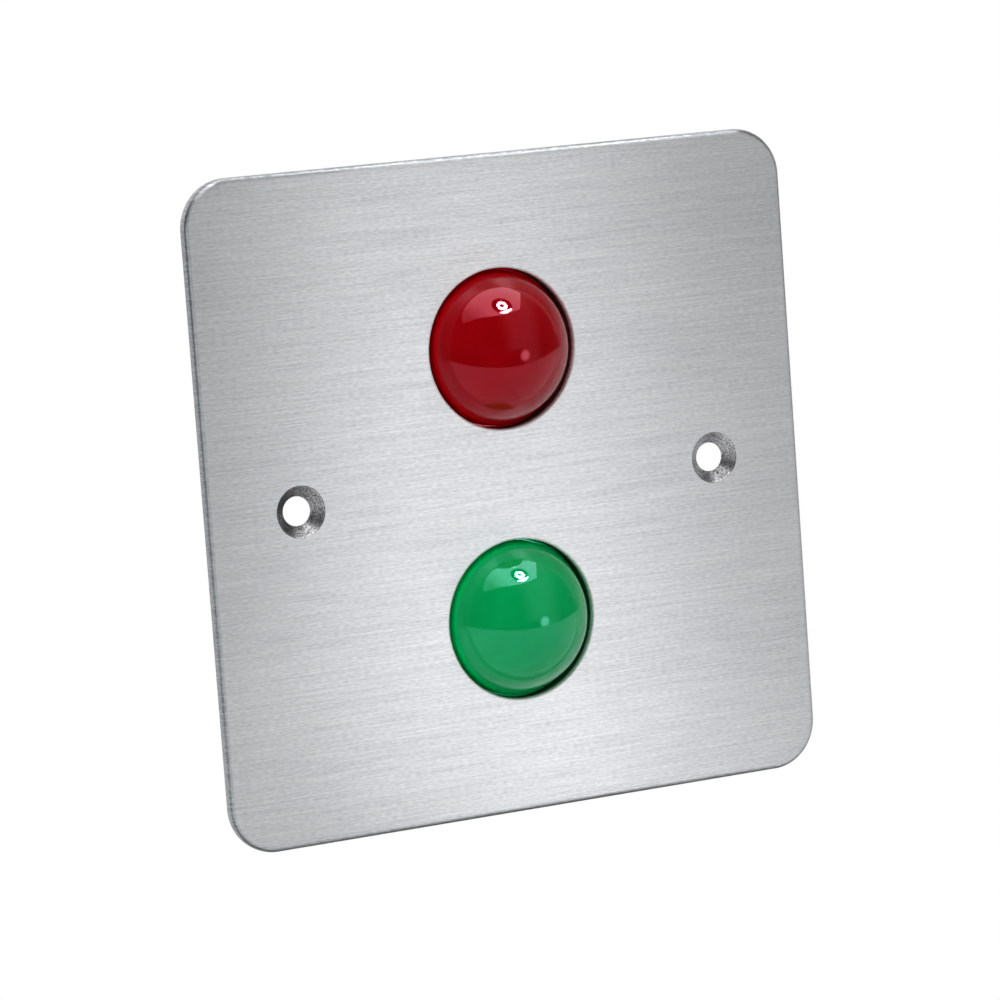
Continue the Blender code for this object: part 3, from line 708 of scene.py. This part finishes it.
def make_stem(colour):
    """Switch plunger with a rounded front."""
    name = f"{colour}_switch_stem"
    low, high, radius = round_box(name)
    dome, chamfer = 0.5 * MM, 0.2 * MM
    profile = [(0.0, low.y), *arc(radius - dome, low.y + dome, dome, -90.0, 0.0, 6)]
    profile += [(radius, high.y - chamfer), (radius - chamfer, high.y), (0.0, high.y)]
    add_turned_piece(f"{colour}_plunger", profile, "switch", name, f"{colour}_button", SMALL_SIDES)


def make_seal(colour):
    """Rubber ring with a rounded lip towards the dome."""
    name = f"{colour}_seal"
    low, high, radius = round_box(name)
    lip = (high.y - low.y) / 2
    section = arc(BARREL_RADIUS + lip, low.y + lip, lip, 90.0, 270.0, 10)
    section += round_rim(radius, low.y, high.y, 0.15 * MM)
    add_turned_piece(f"{colour}_rubber_ring", section, "seal", name, closed=True)


def make_spring(colour):
    """Coil with closer turns at each end."""
    low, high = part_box(f"{colour}_spring")
    at = middle(f"{colour}_spring")
    radius = POST_RADIUS + 0.75 * MM
    steps = 36
    rise = high.y - low.y - SPRING_WIRE
    path = []
    for step in range(SPRING_TURNS * steps + 1):
        turn = 2 * math.pi * step / steps
        share = step / (SPRING_TURNS * steps)
        eased = share * share * (3 - 2 * share)
        y = low.y + SPRING_WIRE / 2 + rise * (0.55 * share + 0.45 * eased)
        path.append(Vector((at.x + radius * math.cos(turn), y, at.z + radius * math.sin(turn))))
    bm = bmesh.new()
    add_tube(bm, path, SPRING_WIRE / 2)
    coil = add_piece(f"{colour}_coil", bm, "plated", f"{colour}_spring")
    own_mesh(coil)


def rib_height(turn):
    """Share of a rib's height at an angle round the housing, in degrees."""
    nearest = min(abs((turn - rib + 180) % 360 - 180) for rib in RIB_ANGLES)
    return max(0.0, math.cos(min(nearest / RIB_HALF_ANGLE, 1.0) * math.pi / 2))


def cup_section(low, high):
    """Triples (radius, y, ribbed) round the section of a housing."""
    corner = 0.3 * MM
    floor = high.y - FLOOR_THICKNESS
    section = [(POST_HOLE, floor, 0), (BARREL_RADIUS, floor, 0), (BARREL_RADIUS, STOP_LEDGE, 0)]
    section += [(SLEEVE_RADIUS, STOP_LEDGE, 0), (SLEEVE_RADIUS, low.y, 0)]
    front = arc(HOUSING_RADIUS - corner, low.y + corner, corner, -90.0, 0.0, 4)
    section += [(radius, y, 0) for radius, y in front]
    section += [(HOUSING_RADIUS, EAR_BACK + 0.8 * MM, 0), (HOUSING_RADIUS, EAR_BACK + 1.2 * MM, 1)]
    section.append((HOUSING_RADIUS, high.y - 1.2 * MM, 1))
    back = arc(HOUSING_RADIUS - corner, high.y - corner, corner, 0.0, 90.0, 4)
    section += [(radius, y, 0) for radius, y in back]
    section.append((POST_HOLE, high.y, 0))
    return section


def add_ear(bm, side, stud_x, z_at):
    """Rounded lug on one side of a housing, round its stud."""
    root = (SLEEVE_RADIUS + HOUSING_RADIUS) / 2
    half_root = math.asin(EAR_RADIUS / root)
    edge = 0.3 * MM
    loops = []
    for inset, y in edge_levels(EAR_FRONT, EAR_BACK, edge, edge, 3):
        outline = []
        for step in range(9):
            turn = half_root * (1 - step / 4)
            outline.append((root * math.cos(turn), root * math.sin(turn) * (1 - inset / EAR_RADIUS)))
        outline += arc(stud_x, 0.0, EAR_RADIUS - inset, -90.0, 90.0, 24)
        loops.append([(side * x, y, z_at + z) for x, z in outline])
    add_loft(bm, loops)


def make_housing(colour):
    """Cup with ribs down its outside, a stop ledge inside, and an ear on each side."""
    low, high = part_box(f"{colour}_housing")
    at = middle(f"{colour}_housing")
    sides = 360
    ribs = [RIB_HEIGHT * rib_height(360.0 * step / sides) for step in range(sides)]
    loops = []
    for radius, y, ribbed in cup_section(low, high):
        loops.append(ring_of(lambda step: radius + ribbed * ribs[step], y, (at.x, at.z), sides))
    bm = bmesh.new()
    add_loft(bm, loops, closed=True)
    housing = new_piece(f"{colour}_cup", bm, FINISHES["housing"])
    stud_x = middle("weld_stud_2").x
    lamp_x = middle(f"{colour}_led_right").x
    ears = bmesh.new()
    holes = bmesh.new()
    for side in (-1, 1):
        add_ear(ears, side, stud_x, at.z)
        add_peg(holes, STUD_HOLE, 0.0, EAR_BACK + PAST, (side * stud_x, at.z))
        add_peg(holes, LED_HOLE, high.y - FLOOR_THICKNESS - PAST, high.y + PAST, (side * lamp_x, at.z))
    combine(housing, ears, "UNION")
    combine(housing, holes)
    even_flats(housing)
    place_piece(housing, "base", "housing", f"{colour}_housing")


def make_switch(colour):
    """Moulded body under a steel cover plate, with a well for the plunger."""
    low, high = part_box(f"{colour}_switch_body")
    at = middle(f"{colour}_switch_body")
    cover = 0.3 * MM
    well = 1.75 * MM
    well_floor = high.y - 0.4 * MM
    inset = Vector((0.25 * MM, 0.0, 0.25 * MM))
    cover_back = Vector((high.x, low.y + cover, high.z))
    bm = bmesh.new()
    add_slab(bm, low + Vector((0.0, cover, 0.0)), high, 0.5 * MM, 0.15 * MM, 0.15 * MM, 6, 3)
    body = new_piece(f"{colour}_switch_case", bm, FINISHES["switch"])
    bm = bmesh.new()
    add_slab(bm, low + inset, cover_back - inset, 0.6 * MM, 0.1 * MM, 0.05 * MM, 6, 3)
    steel = new_piece(f"{colour}_switch_cover", bm, FINISHES["plated"])
    for piece in (body, steel):
        bore = bmesh.new()
        add_peg(bore, well, low.y - 1.0 * MM, well_floor, (at.x, at.z))
        combine(piece, bore)
        even_flats(piece)
    place_piece(body, "base", "switch", f"{colour}_switch_body")
    place_piece(steel, "base", "plated")


def make_led(colour, side):
    """Lamp with a domed front and a rim at its back."""
    name = f"{colour}_led_{side}"
    low, high, rim = round_box(name)
    radius = rim - 0.4 * MM
    rim_front = high.y - 1.0 * MM
    profile = arc(0.0, low.y + radius, radius, -90.0, 0.0, 12)
    profile.append((radius, rim_front))
    profile += round_rim(rim, rim_front, high.y, 0.1 * MM, 3)
    profile.append((0.0, high.y))
    add_turned_piece(name + "_lamp", profile, f"{colour}_lamp", name, sides=SMALL_SIDES)


def make_stud(number):
    """Stud with a weld bead at the plate and a rolled thread at its end."""
    name = f"weld_stud_{number}"
    _, high, radius = round_box(name)
    at = middle(name)
    centre = (at.x, at.z)
    sides = 32
    loops = [[(at.x, 0.0, at.z)]]
    for bead, y in ((radius + 0.5 * MM, 0.0), (radius + 0.15 * MM, 0.15 * MM), (radius, 0.4 * MM)):
        loops.append(circle(bead, y, centre, sides))
    end = high.y - 0.5 * MM
    rows = int((end - THREAD_START) / THREAD_PITCH * 8)
    for row in range(rows + 1):
        y = THREAD_START + (end - THREAD_START) * row / rows
        turns = (y - THREAD_START) / THREAD_PITCH
        depth = THREAD_DEPTH * min(1.0, turns)
        groove = [depth * abs(2 * ((turns - step / sides) % 1.0) - 1) for step in range(sides)]
        loops.append(ring_of(lambda step: radius - groove[step], y, centre, sides))
    loops.append(circle(radius * 0.7, high.y, centre, sides))
    loops.append([(at.x, high.y, at.z)])
    bm = bmesh.new()
    add_loft(bm, loops)
    add_piece(f"stud_{number}", bm, "plated", name, sharp=60.0)


def make_hexagon(kind, number, at, finish, bore):
    """Spacer or nut on one stud."""
    low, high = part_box(f"{kind}_{number}")
    bm = bmesh.new()
    add_hexagon(bm, (at.x, at.z), high.z - low.z, bore, low.y, high.y)
    add_piece(f"hex_{kind}_{number}", bm, finish, f"{kind}_{number}", sharp=25.0)


def make_fasteners(number):
    """Spacer, washer and nut on one stud."""
    at = middle(f"weld_stud_{number}")
    make_hexagon("spacer", number, at, "brass", STUD_HOLE)
    low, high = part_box(f"washer_{number}")
    section = [(STUD_HOLE, high.y), (STUD_HOLE, low.y)]
    section += round_rim((high.z - low.z) / 2, low.y, high.y, 0.12 * MM, 3)
    bm = bmesh.new()
    add_turned(bm, section, (at.x, at.z), 64, closed=True)
    add_piece(f"flat_washer_{number}", bm, "plated", f"washer_{number}")
    make_hexagon("nut", number, at, "plated", NUT_BORE)


def board_outline(half_x, half_z, inset):
    """Points (x, z) of the waisted board, with every corner rounded."""
    bend_x, bend_z = WAIST_HALF_WIDTH + WAIST_BEND, WAIST_HALF_HEIGHT - WAIST_BEND
    shoulder_x, shoulder_z = half_x - BOARD_SHOULDER, WAIST_HALF_HEIGHT + BOARD_SHOULDER
    quarter = arc(bend_x, bend_z, WAIST_BEND + inset, 180.0, 90.0)
    quarter += arc(shoulder_x, shoulder_z, BOARD_SHOULDER - inset, -90.0, 0.0)
    quarter += arc(half_x - BOARD_CORNER, half_z - BOARD_CORNER, BOARD_CORNER - inset, 0.0, 90.0)
    upper = quarter + [(-x, z) for x, z in reversed(quarter)]
    return upper + [(-x, -z) for x, z in upper]


def make_board():
    """Waisted circuit board with a hole for each stud."""
    low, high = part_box("circuit_board")
    half = (high - low) / 2
    edge = BOARD_EDGE
    levels = ((edge, low.y), (0.0, low.y + edge), (0.0, high.y - edge), (edge, high.y))
    loops = []
    for inset, y in levels:
        loops.append([(x, y, z) for x, z in board_outline(half.x, half.z, inset)])
    bm = bmesh.new()
    add_loft(bm, loops)
    board = new_piece("printed_board", bm, FINISHES["board"])
    holes = bmesh.new()
    for number in range(1, 5):
        at = middle(f"weld_stud_{number}")
        add_peg(holes, STUD_HOLE, low.y - PAST, high.y + PAST, (at.x, at.z))
    combine(board, holes)
    even_flats(board)
    place_piece(board, "base", "board", "circuit_board")


def lead_places():
    """Points (x, z) where lamp and switch leads come through the board."""
    places = []
    for colour in COLOURS:
        for side in ("left", "right"):
            lamp = middle(f"{colour}_led_{side}")
            places += [(lamp.x - LEAD_SPACING, lamp.z), (lamp.x + LEAD_SPACING, lamp.z)]
        switch = middle(f"{colour}_switch_body")
        for x in (-SWITCH_PIN_X, SWITCH_PIN_X):
            places += [(x, switch.z - SWITCH_PIN_Z), (x, switch.z + SWITCH_PIN_Z)]
    return places


def make_tracks():
    """Copper tracks under the mask on the board's back, the same for both buttons."""
    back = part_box("circuit_board")[1].y
    lamp = middle("red_led_right")
    chip = middle("red_resistor").z
    chip_end = 1.45 * MM
    outer, inner = lamp.x + LEAD_SPACING, lamp.x - LEAD_SPACING
    pin = lamp.z - SWITCH_PIN_Z
    turn = 1.6 * MM
    wide = outer + 2.2 * turn
    over = lamp.z + 5.4 * MM
    pole = TERMINAL_PITCH / 2
    under = 3.5 * MM
    routes = [
        [(-outer, lamp.z), (-outer, chip + turn), (turn - outer, chip), (-chip_end, chip)],
        [(chip_end, chip), (pole, chip - pole + chip_end), (pole, under)],
        [
            (SWITCH_PIN_X, pin), (SWITCH_PIN_X, pin - turn),
            (3 * pole, pin - turn - 3 * pole + SWITCH_PIN_X), (3 * pole, under),
        ],
        [
            (-inner, lamp.z), (-inner, over - turn), (turn - inner, over),
            (inner - turn, over), (inner, over - turn), (inner, lamp.z),
        ],
        [(outer, lamp.z), (outer, chip + 2.2 * turn), (wide, chip), (wide, 6.0 * MM), (9.0 * MM, under)],
    ]
    bm = bmesh.new()
    for facing in (1, -1):
        for route in routes:
            points = [(facing * x, facing * z) for x, z in route]
            for step, (start, end) in enumerate(zip(points, points[1:])):
                add_strip(bm, start, end, TRACK_WIDTH, back, back + TRACK_HEIGHT + step % 2 * TRACK_LAP)
    add_piece("board_tracks", bm, "track", slot="board")


def make_print():
    """White outlines on the board's back round the resistors, lamps and terminals."""
    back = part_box("circuit_board")[1].y
    front = back + PRINT_HEIGHT
    lamp = middle("red_led_right")
    chip = middle("red_resistor").z
    half_chip, beside = 2.6 * MM, 1.5 * MM
    frame_x, frame_z = 10.5 * MM, 4.6 * MM
    rim = 2.75 * MM
    lines = [
        ((-half_chip, chip - beside), (half_chip, chip - beside)),
        ((-half_chip, chip + beside), (half_chip, chip + beside)),
        ((-frame_x, frame_z), (frame_x, frame_z)),
        ((frame_x, -frame_z), (frame_x, frame_z)),
    ]
    ring = [(rim, back), (rim + PRINT_WIDTH, back), (rim + PRINT_WIDTH, front), (rim, front)]
    bm = bmesh.new()
    for facing in (1, -1):
        for start, end in lines:
            ends = [(facing * x, facing * z) for x, z in (start, end)]
            add_strip(bm, *ends, PRINT_WIDTH, back, front)
        for x in (-lamp.x, lamp.x):
            add_turned(bm, ring, (x, facing * lamp.z), 64, closed=True)
    add_piece("board_print", bm, "print", slot="board")


def make_solder():
    """Solder fillets over leads and pads, and the tinned rings under the washers."""
    low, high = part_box("circuit_board")
    fillet = [(PAD_RADIUS, 0.0), (PAD_RADIUS, 0.06 * MM), (0.62 * MM, 0.22 * MM), (0.42 * MM, 0.55 * MM)]
    fillet += [(0.34 * MM, 0.85 * MM), (0.22 * MM, 1.0 * MM), (0.0, 1.04 * MM)]
    rim = 3.75 * MM
    tinned = high.y + TRACK_HEIGHT
    bm = bmesh.new()
    for place in lead_places():
        add_turned(bm, [(0.0, high.y)] + [(radius, high.y + rise) for radius, rise in fillet], place, 24)
    for pole in (-1.5, -0.5, 0.5, 1.5):
        place = (pole * TERMINAL_PITCH, 0.0)
        add_turned(bm, [(0.0, low.y)] + [(1.15 * radius, low.y - rise) for radius, rise in fillet], place, 24)
    for number in range(1, 5):
        at = middle(f"weld_stud_{number}")
        ring = [(STUD_HOLE, high.y), (rim, high.y), (rim, tinned), (STUD_HOLE, tinned)]
        add_turned(bm, ring, (at.x, at.z), 64, closed=True)
    add_piece("solder_joints", bm, "solder", slot="plated")


def make_leads():
    """Lamp and switch leads between the components and the board."""
    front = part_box("circuit_board")[0].y
    half = 0.25 * MM
    bm = bmesh.new()
    for x, z in lead_places():
        lead_low = (x - half, front - 0.35 * MM, z - half)
        add_box(bm, lead_low, (x + half, front + 0.1 * MM, z + half), 0.05 * MM)
    add_piece("component_leads", bm, "solder", slot="plated")


def make_resistor(colour):
    """Glazed chip with a tinned cap on each end, soldered to the board."""
    name = f"{colour}_resistor"
    low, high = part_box(name)
    cap = 0.55 * MM
    shrink = Vector((cap / 2, 0.05 * MM, 0.05 * MM))
    bm = bmesh.new()
    add_box(bm, low + shrink, high - shrink, 0.08 * MM)
    add_piece(name + "_chip", bm, "resistor", name)
    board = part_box("circuit_board")[1].y
    at = middle(name)
    pool = Vector((0.55 * MM, 0.24 * MM, 0.85 * MM))
    bm = bmesh.new()
    add_box(bm, low, (low.x + cap, high.y, high.z), 0.12 * MM)
    add_box(bm, (high.x - cap, low.y, low.z), high, 0.12 * MM)
    for side in (-1, 1):
        x = side * (high.x + 0.1 * MM)
        pool_low = (x - pool.x, board, at.z - pool.z)
        add_box(bm, pool_low, (x + pool.x, board + pool.y, at.z + pool.z), 0.1 * MM)
    add_piece(name + "_caps", bm, "solder", slot="plated")


def make_terminals():
    """Screw terminal block: wires enter from below, screws face the back."""
    low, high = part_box("terminal_block")
    slope = TERMINAL_CHAMFER
    side = [(low.y, low.z), (low.y, high.z), (high.y - slope, high.z), (high.y, high.z - slope)]
    side += [(high.y, low.z + slope), (high.y - slope, low.z)]
    bm = bmesh.new()
    add_loft(bm, [[(x, y, z) for y, z in side] for x in (low.x, high.x)])
    bmesh.ops.recalc_face_normals(bm, faces=bm.faces)
    bmesh.ops.bevel(bm, geom=list(bm.edges), offset=0.25 * MM, segments=3, profile=0.5, affect="EDGES")
    block = new_piece("terminal_moulding", bm, FINISHES["terminal"])
    wire_front = low.y + WIRE_FLOOR
    wire_back = wire_front + WIRE_DEPTH
    wire_middle = (wire_front + wire_back) / 2
    flare = SCREW_WELL + 0.4 * MM
    mouth = [(0.0, wire_middle), (SCREW_WELL, wire_middle), (SCREW_WELL, high.y - 0.35 * MM)]
    mouth += [(flare, high.y + 0.05 * MM), (flare, high.y + PAST), (0.0, high.y + PAST)]
    pockets = bmesh.new()
    wells = bmesh.new()
    grooves = bmesh.new()
    for pole in range(4):
        x = low.x + TERMINAL_PITCH * (pole + 0.5)
        pocket_low = Vector((x - WIRE_WIDTH / 2, wire_front, low.z - PAST))
        pocket_high = Vector((x + WIRE_WIDTH / 2, wire_back, high.z - WIRE_REAR_WALL))
        add_slab(pockets, pocket_low, pocket_high, 0.3 * MM, 0.3 * MM, 0.3 * MM, 4, 3)
        add_turned(wells, mouth, (x, 0.0), SMALL_SIDES)
    for split in range(1, 4):
        x = low.x + TERMINAL_PITCH * split
        groove_low = (x - 0.2 * MM, high.y - 0.45 * MM, low.z - PAST)
        add_box(grooves, groove_low, (x + 0.2 * MM, high.y + PAST, high.z + PAST), 0.05 * MM)
    for cut in (pockets, wells, grooves):
        combine(block, cut)
    even_flats(block)
    place_piece(block, "base", "terminal", "terminal_block")


def make_terminal_screw(number):
    """Round head with a chamfer and a driver slot."""
    name = f"terminal_screw_{number}"
    low, high, radius = round_box(name)
    at = middle(name)
    edge = 0.25 * MM
    profile = [(0.0, low.y), (radius - edge, low.y), (radius, low.y + edge)]
    profile += arc(radius - edge, high.y - edge, edge, 0.0, 90.0, 5)
    profile.append((0.0, high.y))
    bm = bmesh.new()
    add_turned(bm, profile, (at.x, at.z), SMALL_SIDES)
    screw = new_piece(name + "_head", bm, FINISHES["plated"])
    half_width, half_length = 0.3 * MM, 3.0 * MM
    slot_low = (at.x - half_width, high.y - 0.8 * MM, at.z - half_length)
    slot_high = (at.x + half_width, high.y + 1.0 * MM, at.z + half_length)
    slot = bmesh.new()
    add_box(slot, slot_low, slot_high, 0.06 * MM)
    turn = Matrix.Rotation(math.radians(37 * number), 4, "Y")
    slot.transform(Matrix.Translation(at) @ turn @ Matrix.Translation(-at))
    combine(screw, slot)
    even_flats(screw)
    place_piece(screw, "base", "plated", name)


def make_clamp(number):
    """Clamp plate with four ridges that grip the wire."""
    name = f"terminal_clamp_{number}"
    low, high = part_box(name)
    ridge, half_ridge = 0.12 * MM, 0.2 * MM
    ridges = 4
    bm = bmesh.new()
    add_box(bm, low + Vector((0.0, ridge, 0.0)), high, 0.1 * MM)
    for step in range(ridges):
        z = low.z + (high.z - low.z) * (step + 0.5) / ridges
        ridge_low = (low.x + 0.3 * MM, low.y, z - half_ridge)
        add_box(bm, ridge_low, (high.x - 0.3 * MM, high.y - 0.2 * MM, z + half_ridge), 0.1 * MM)
    add_piece(name + "_plate", bm, "brass", name)


# Studio


def glow_surface(name, strength, clear=False):
    """White light on a solid or clear card. Its strength is a number, or a function of the node tree."""
    made = bpy.data.materials.new(name)
    made.use_nodes = True
    tree = made.node_tree
    tree.nodes.remove(tree.nodes["Principled BSDF"])
    level = strength(tree) if callable(strength) else strength
    glow = node(tree, "Emission", {"Color": (1.0, 1.0, 1.0, 1.0), "Strength": level})
    if clear:
        pane = node(tree, "BsdfTransparent")
        glow = node(tree, "AddShader", {0: glow.outputs[0], 1: pane.outputs[0]})
    tree.links.new(glow.outputs[0], tree.nodes["Material Output"].inputs["Surface"])
    return made


def add_card(name, bm, material, placed):
    """Stage mesh at a matrix, which lights the object and is hidden from the camera."""
    card = new_piece(name, bm, material)
    card.matrix_world = placed
    card.visible_camera = False
    card.visible_shadow = False
    return card


def facing_object(place, nearer=0.0):
    """Matrix of a card at a place, turned to the object and moved a little nearer to it."""
    turn = (-Vector(place)).to_track_quat("Z", "Y").to_matrix().to_4x4()
    return Matrix.Translation(place) @ turn @ Matrix.Translation((0.0, 0.0, nearer))


def disc(radius):
    bm = bmesh.new()
    bmesh.ops.create_circle(bm, cap_ends=True, segments=64, radius=radius)
    return bm


def add_round_card(name, place, radius, strength, nearer=0.0, clear=False):
    light = glow_surface(name + "_light", strength, clear)
    return add_card(name, disc(radius), light, facing_object(place, nearer))


def faded(strength, radius):
    """Strength of a round card that is full in its middle and nothing at its rim."""
    def level(tree):
        length = node(tree, "VectorMath", {0: place_of(tree)}, operation="LENGTH")
        return spread(tree, length.outputs["Value"], strength, 0.0, 0.45 * radius, radius)
    return level


def ramp(axis, *ends):
    """Strength of a card that changes along one of its axes."""
    return lambda tree: spread(tree, axis_of(tree, axis), *ends)


def gleam_strength(tree):
    """Brightest along the middle of the gleam on the table, and nothing towards its sides."""
    aside = maths(tree, "ABSOLUTE", axis_of(tree, "X"))
    return spread(tree, aside, GLEAM_STRENGTH, 0.0, 0.0, 0.7 * GLEAM_HALF_WIDTH)


def light_only(name, cards, pieces):
    """Lets the cards light these pieces and nothing else."""
    lit = bpy.data.collections.new(name)
    for piece in pieces:
        lit.objects.link(piece)
    for card in cards:
        card.light_linking.receiver_collection = lit


def make_lights(plate, domes):
    """Softbox overhead with a lamp below it, a fill lamp low on the right, and soft lights all round.

    Only the domes show the lamp, with its ring and dark middle. Only the plate shows the gleam and the walls.
    """
    bm = bmesh.new()
    bm.faces.new([bm.verts.new((x, y, 0.0)) for x, y in SOFTBOX_OUTLINE])
    overhead = Matrix.Translation((0.0, 0.0, SOFTBOX_HEIGHT))
    dim_left = ramp("X", 0.3 * SOFTBOX_STRENGTH, SOFTBOX_STRENGTH, -0.22, -0.08)
    add_card("Softbox", bm, glow_surface("Softbox_light", dim_left), overhead)
    lower_side = ramp("Y", LAMP_STRENGTH, 0.0, -0.70 * LAMP_RING, -0.58 * LAMP_RING)
    dim_upwards = ramp("Y", LAMP_STRENGTH, 0.5 * LAMP_STRENGTH, 0.0, LAMP_RADIUS)
    lamp_cards = [
        add_round_card("Lamp_ring", LAMP_PLACE, LAMP_RING, lower_side),
        add_round_card("Lamp", LAMP_PLACE, LAMP_RADIUS, dim_upwards, LAMP_STEP),
        add_round_card("Lamp_dot", LAMP_PLACE, LAMP_DOT, LAMP_DOT_STRENGTH, 2 * LAMP_STEP),
    ]
    for card in lamp_cards:
        card.visible_diffuse = False
    light_only("Lamp_lit", lamp_cards, domes)
    bm = bmesh.new()
    bmesh.ops.create_grid(bm, x_segments=1, y_segments=1, size=1.0)
    bmesh.ops.scale(bm, vec=(GLEAM_HALF_WIDTH, GLEAM_HALF_DEPTH, 1.0), verts=bm.verts)
    gleam_light = glow_surface("Gleam_light", gleam_strength, clear=True)
    plate_cards = [add_card("Gleam", bm, gleam_light, Matrix.Translation(GLEAM_PLACE))]
    for name, (place, radius, strength) in WALLS.items():
        plate_cards.append(add_round_card(name, place, radius, faded(strength, radius), clear=True))
    light_only("Plate_lit", plate_cards, [plate])
    add_round_card("Fill", FILL_PLACE, FILL_RADIUS, faded(FILL_STRENGTH, FILL_RADIUS))
    for name, (place, radius, strength) in SOFT_LIGHTS.items():
        add_round_card(name, place, radius, strength).visible_glossy = False


def make_floor():
    """Pale floor that looks plain white, and a pale round table below the plate, with a painted shadow under
    its foot.
    """
    bm = bmesh.new()
    bmesh.ops.create_grid(bm, x_segments=1, y_segments=1, size=FLOOR_SIZE)
    made, tree, shader = surface("Pale_floor", Base_Color=(0.85, 0.85, 0.85, 1.0), Roughness=0.8)
    path = node(tree, "LightPath").outputs
    seen = maths(tree, "MAXIMUM", path["Is Camera Ray"], path["Is Glossy Ray"])
    seen = maths(tree, "MAXIMUM", seen, path["Is Transmission Ray"])
    white = node(tree, "Emission", {"Color": (1.0, 1.0, 1.0, 1.0), "Strength": 1.0})
    mixed = node(tree, "MixShader", {0: seen, 1: shader.outputs[0], 2: white.outputs[0]})
    tree.links.new(mixed.outputs[0], tree.nodes["Material Output"].inputs["Surface"])
    floor = new_piece("Floor", bm, made)
    floor.location = (0.0, FLOOR_FRONT + FLOOR_SIZE, FLOOR_LEVEL)
    paper, tree, shader = surface("Paper", Roughness=0.8)
    # Painted shadow: the table's colour darkens in a strip under the plate's foot.
    past_foot = maths(tree, "ABSOLUTE", maths(tree, "ADD", axis_of(tree, "Y"), SHEET_PLACE[1]))
    shade = spread(tree, past_foot, FOOT_SHADOW_LEVEL, PAPER_LEVEL, FOOT_SHADE_START, FOOT_SHADE_END)
    tree.links.new(shade, shader.inputs["Base Color"])
    sheet = new_piece("Sheet", disc(SHEET_RADIUS), paper)
    sheet.location = SHEET_PLACE
    sheet.visible_camera = False


def make_world():
    """White to the camera. For the rest a room, dim in front on the left, with a white backdrop behind."""
    world = bpy.data.worlds.new("Studio")
    world.use_nodes = True
    tree = world.node_tree
    direction = node(tree, "TexCoord").outputs["Generated"]
    axes = node(tree, "SeparateXYZ", {0: direction}).outputs
    above = spread(tree, axes["X"], FRONT_LEFT_LEVEL, FRONT_RIGHT_LEVEL, -0.12, 0.2)
    below = spread(tree, axes["X"], FRONT_LEFT_LEVEL, FRONT_RIGHT_LEVEL, 0.38, 0.5)
    low = spread(tree, axes["Z"], 1.0, 0.0, -0.08, 0.0)
    pale = blend(tree, low, above, below)
    front = maths(tree, "MINIMUM", pale, spread(tree, axes["X"], FRONT_RIGHT_LEVEL, RIGHT_LEVEL, 0.60, 0.85))
    sides = spread(tree, axes["X"], BACK_LEFT_LEVEL, BACK_RIGHT_LEVEL, -0.3, 0.3)
    raised = spread(tree, axes["Z"], 0.0, 1.0, 0.0, 0.1)
    back = blend(tree, raised, sides, BACKDROP_LEVEL)
    behind = spread(tree, axes["Y"], 0.0, 1.0, -0.05, 0.35)
    level = blend(tree, behind, front, back)
    seen = node(tree, "LightPath").outputs["Is Camera Ray"]
    strength = blend(tree, seen, level, 1.0)
    background = tree.nodes["Background"]
    background.inputs["Color"].default_value = (1.0, 1.0, 1.0, 1.0)
    tree.links.new(strength, background.inputs["Strength"])
    bpy.context.scene.world = world


def make_camera():
    camera = bpy.data.objects.new("Camera", bpy.data.cameras.new("Camera"))
    camera.data.lens = CAMERA_LENS
    camera.data.sensor_width = 36.0
    camera.data.clip_start = 0.01
    aim = (Vector(CAMERA_AIM) - Vector(CAMERA_PLACE)).to_track_quat("-Z", "Y").to_matrix().to_4x4()
    camera.matrix_world = Matrix.Translation(CAMERA_PLACE) @ aim @ Matrix.Rotation(CAMERA_ROLL, 4, "Z")
    bpy.context.scene.collection.objects.link(camera)
    bpy.context.scene.camera = camera
    bpy.context.scene.view_settings.view_transform = "Standard"


plate = make_plate()
domes = [make_lens(colour) for colour in COLOURS]
for colour in COLOURS:
    make_diffuser(colour)
    make_stem(colour)
    make_seal(colour)
    make_spring(colour)
    make_housing(colour)
    make_switch(colour)
    make_resistor(colour)
    for side in ("left", "right"):
        make_led(colour, side)
for number in range(1, 5):
    make_stud(number)
    make_fasteners(number)
    make_terminal_screw(number)
    make_clamp(number)
make_board()
make_tracks()
make_print()
make_solder()
make_leads()
make_terminals()
make_lights(plate, domes)
make_floor()
make_world()
make_camera()
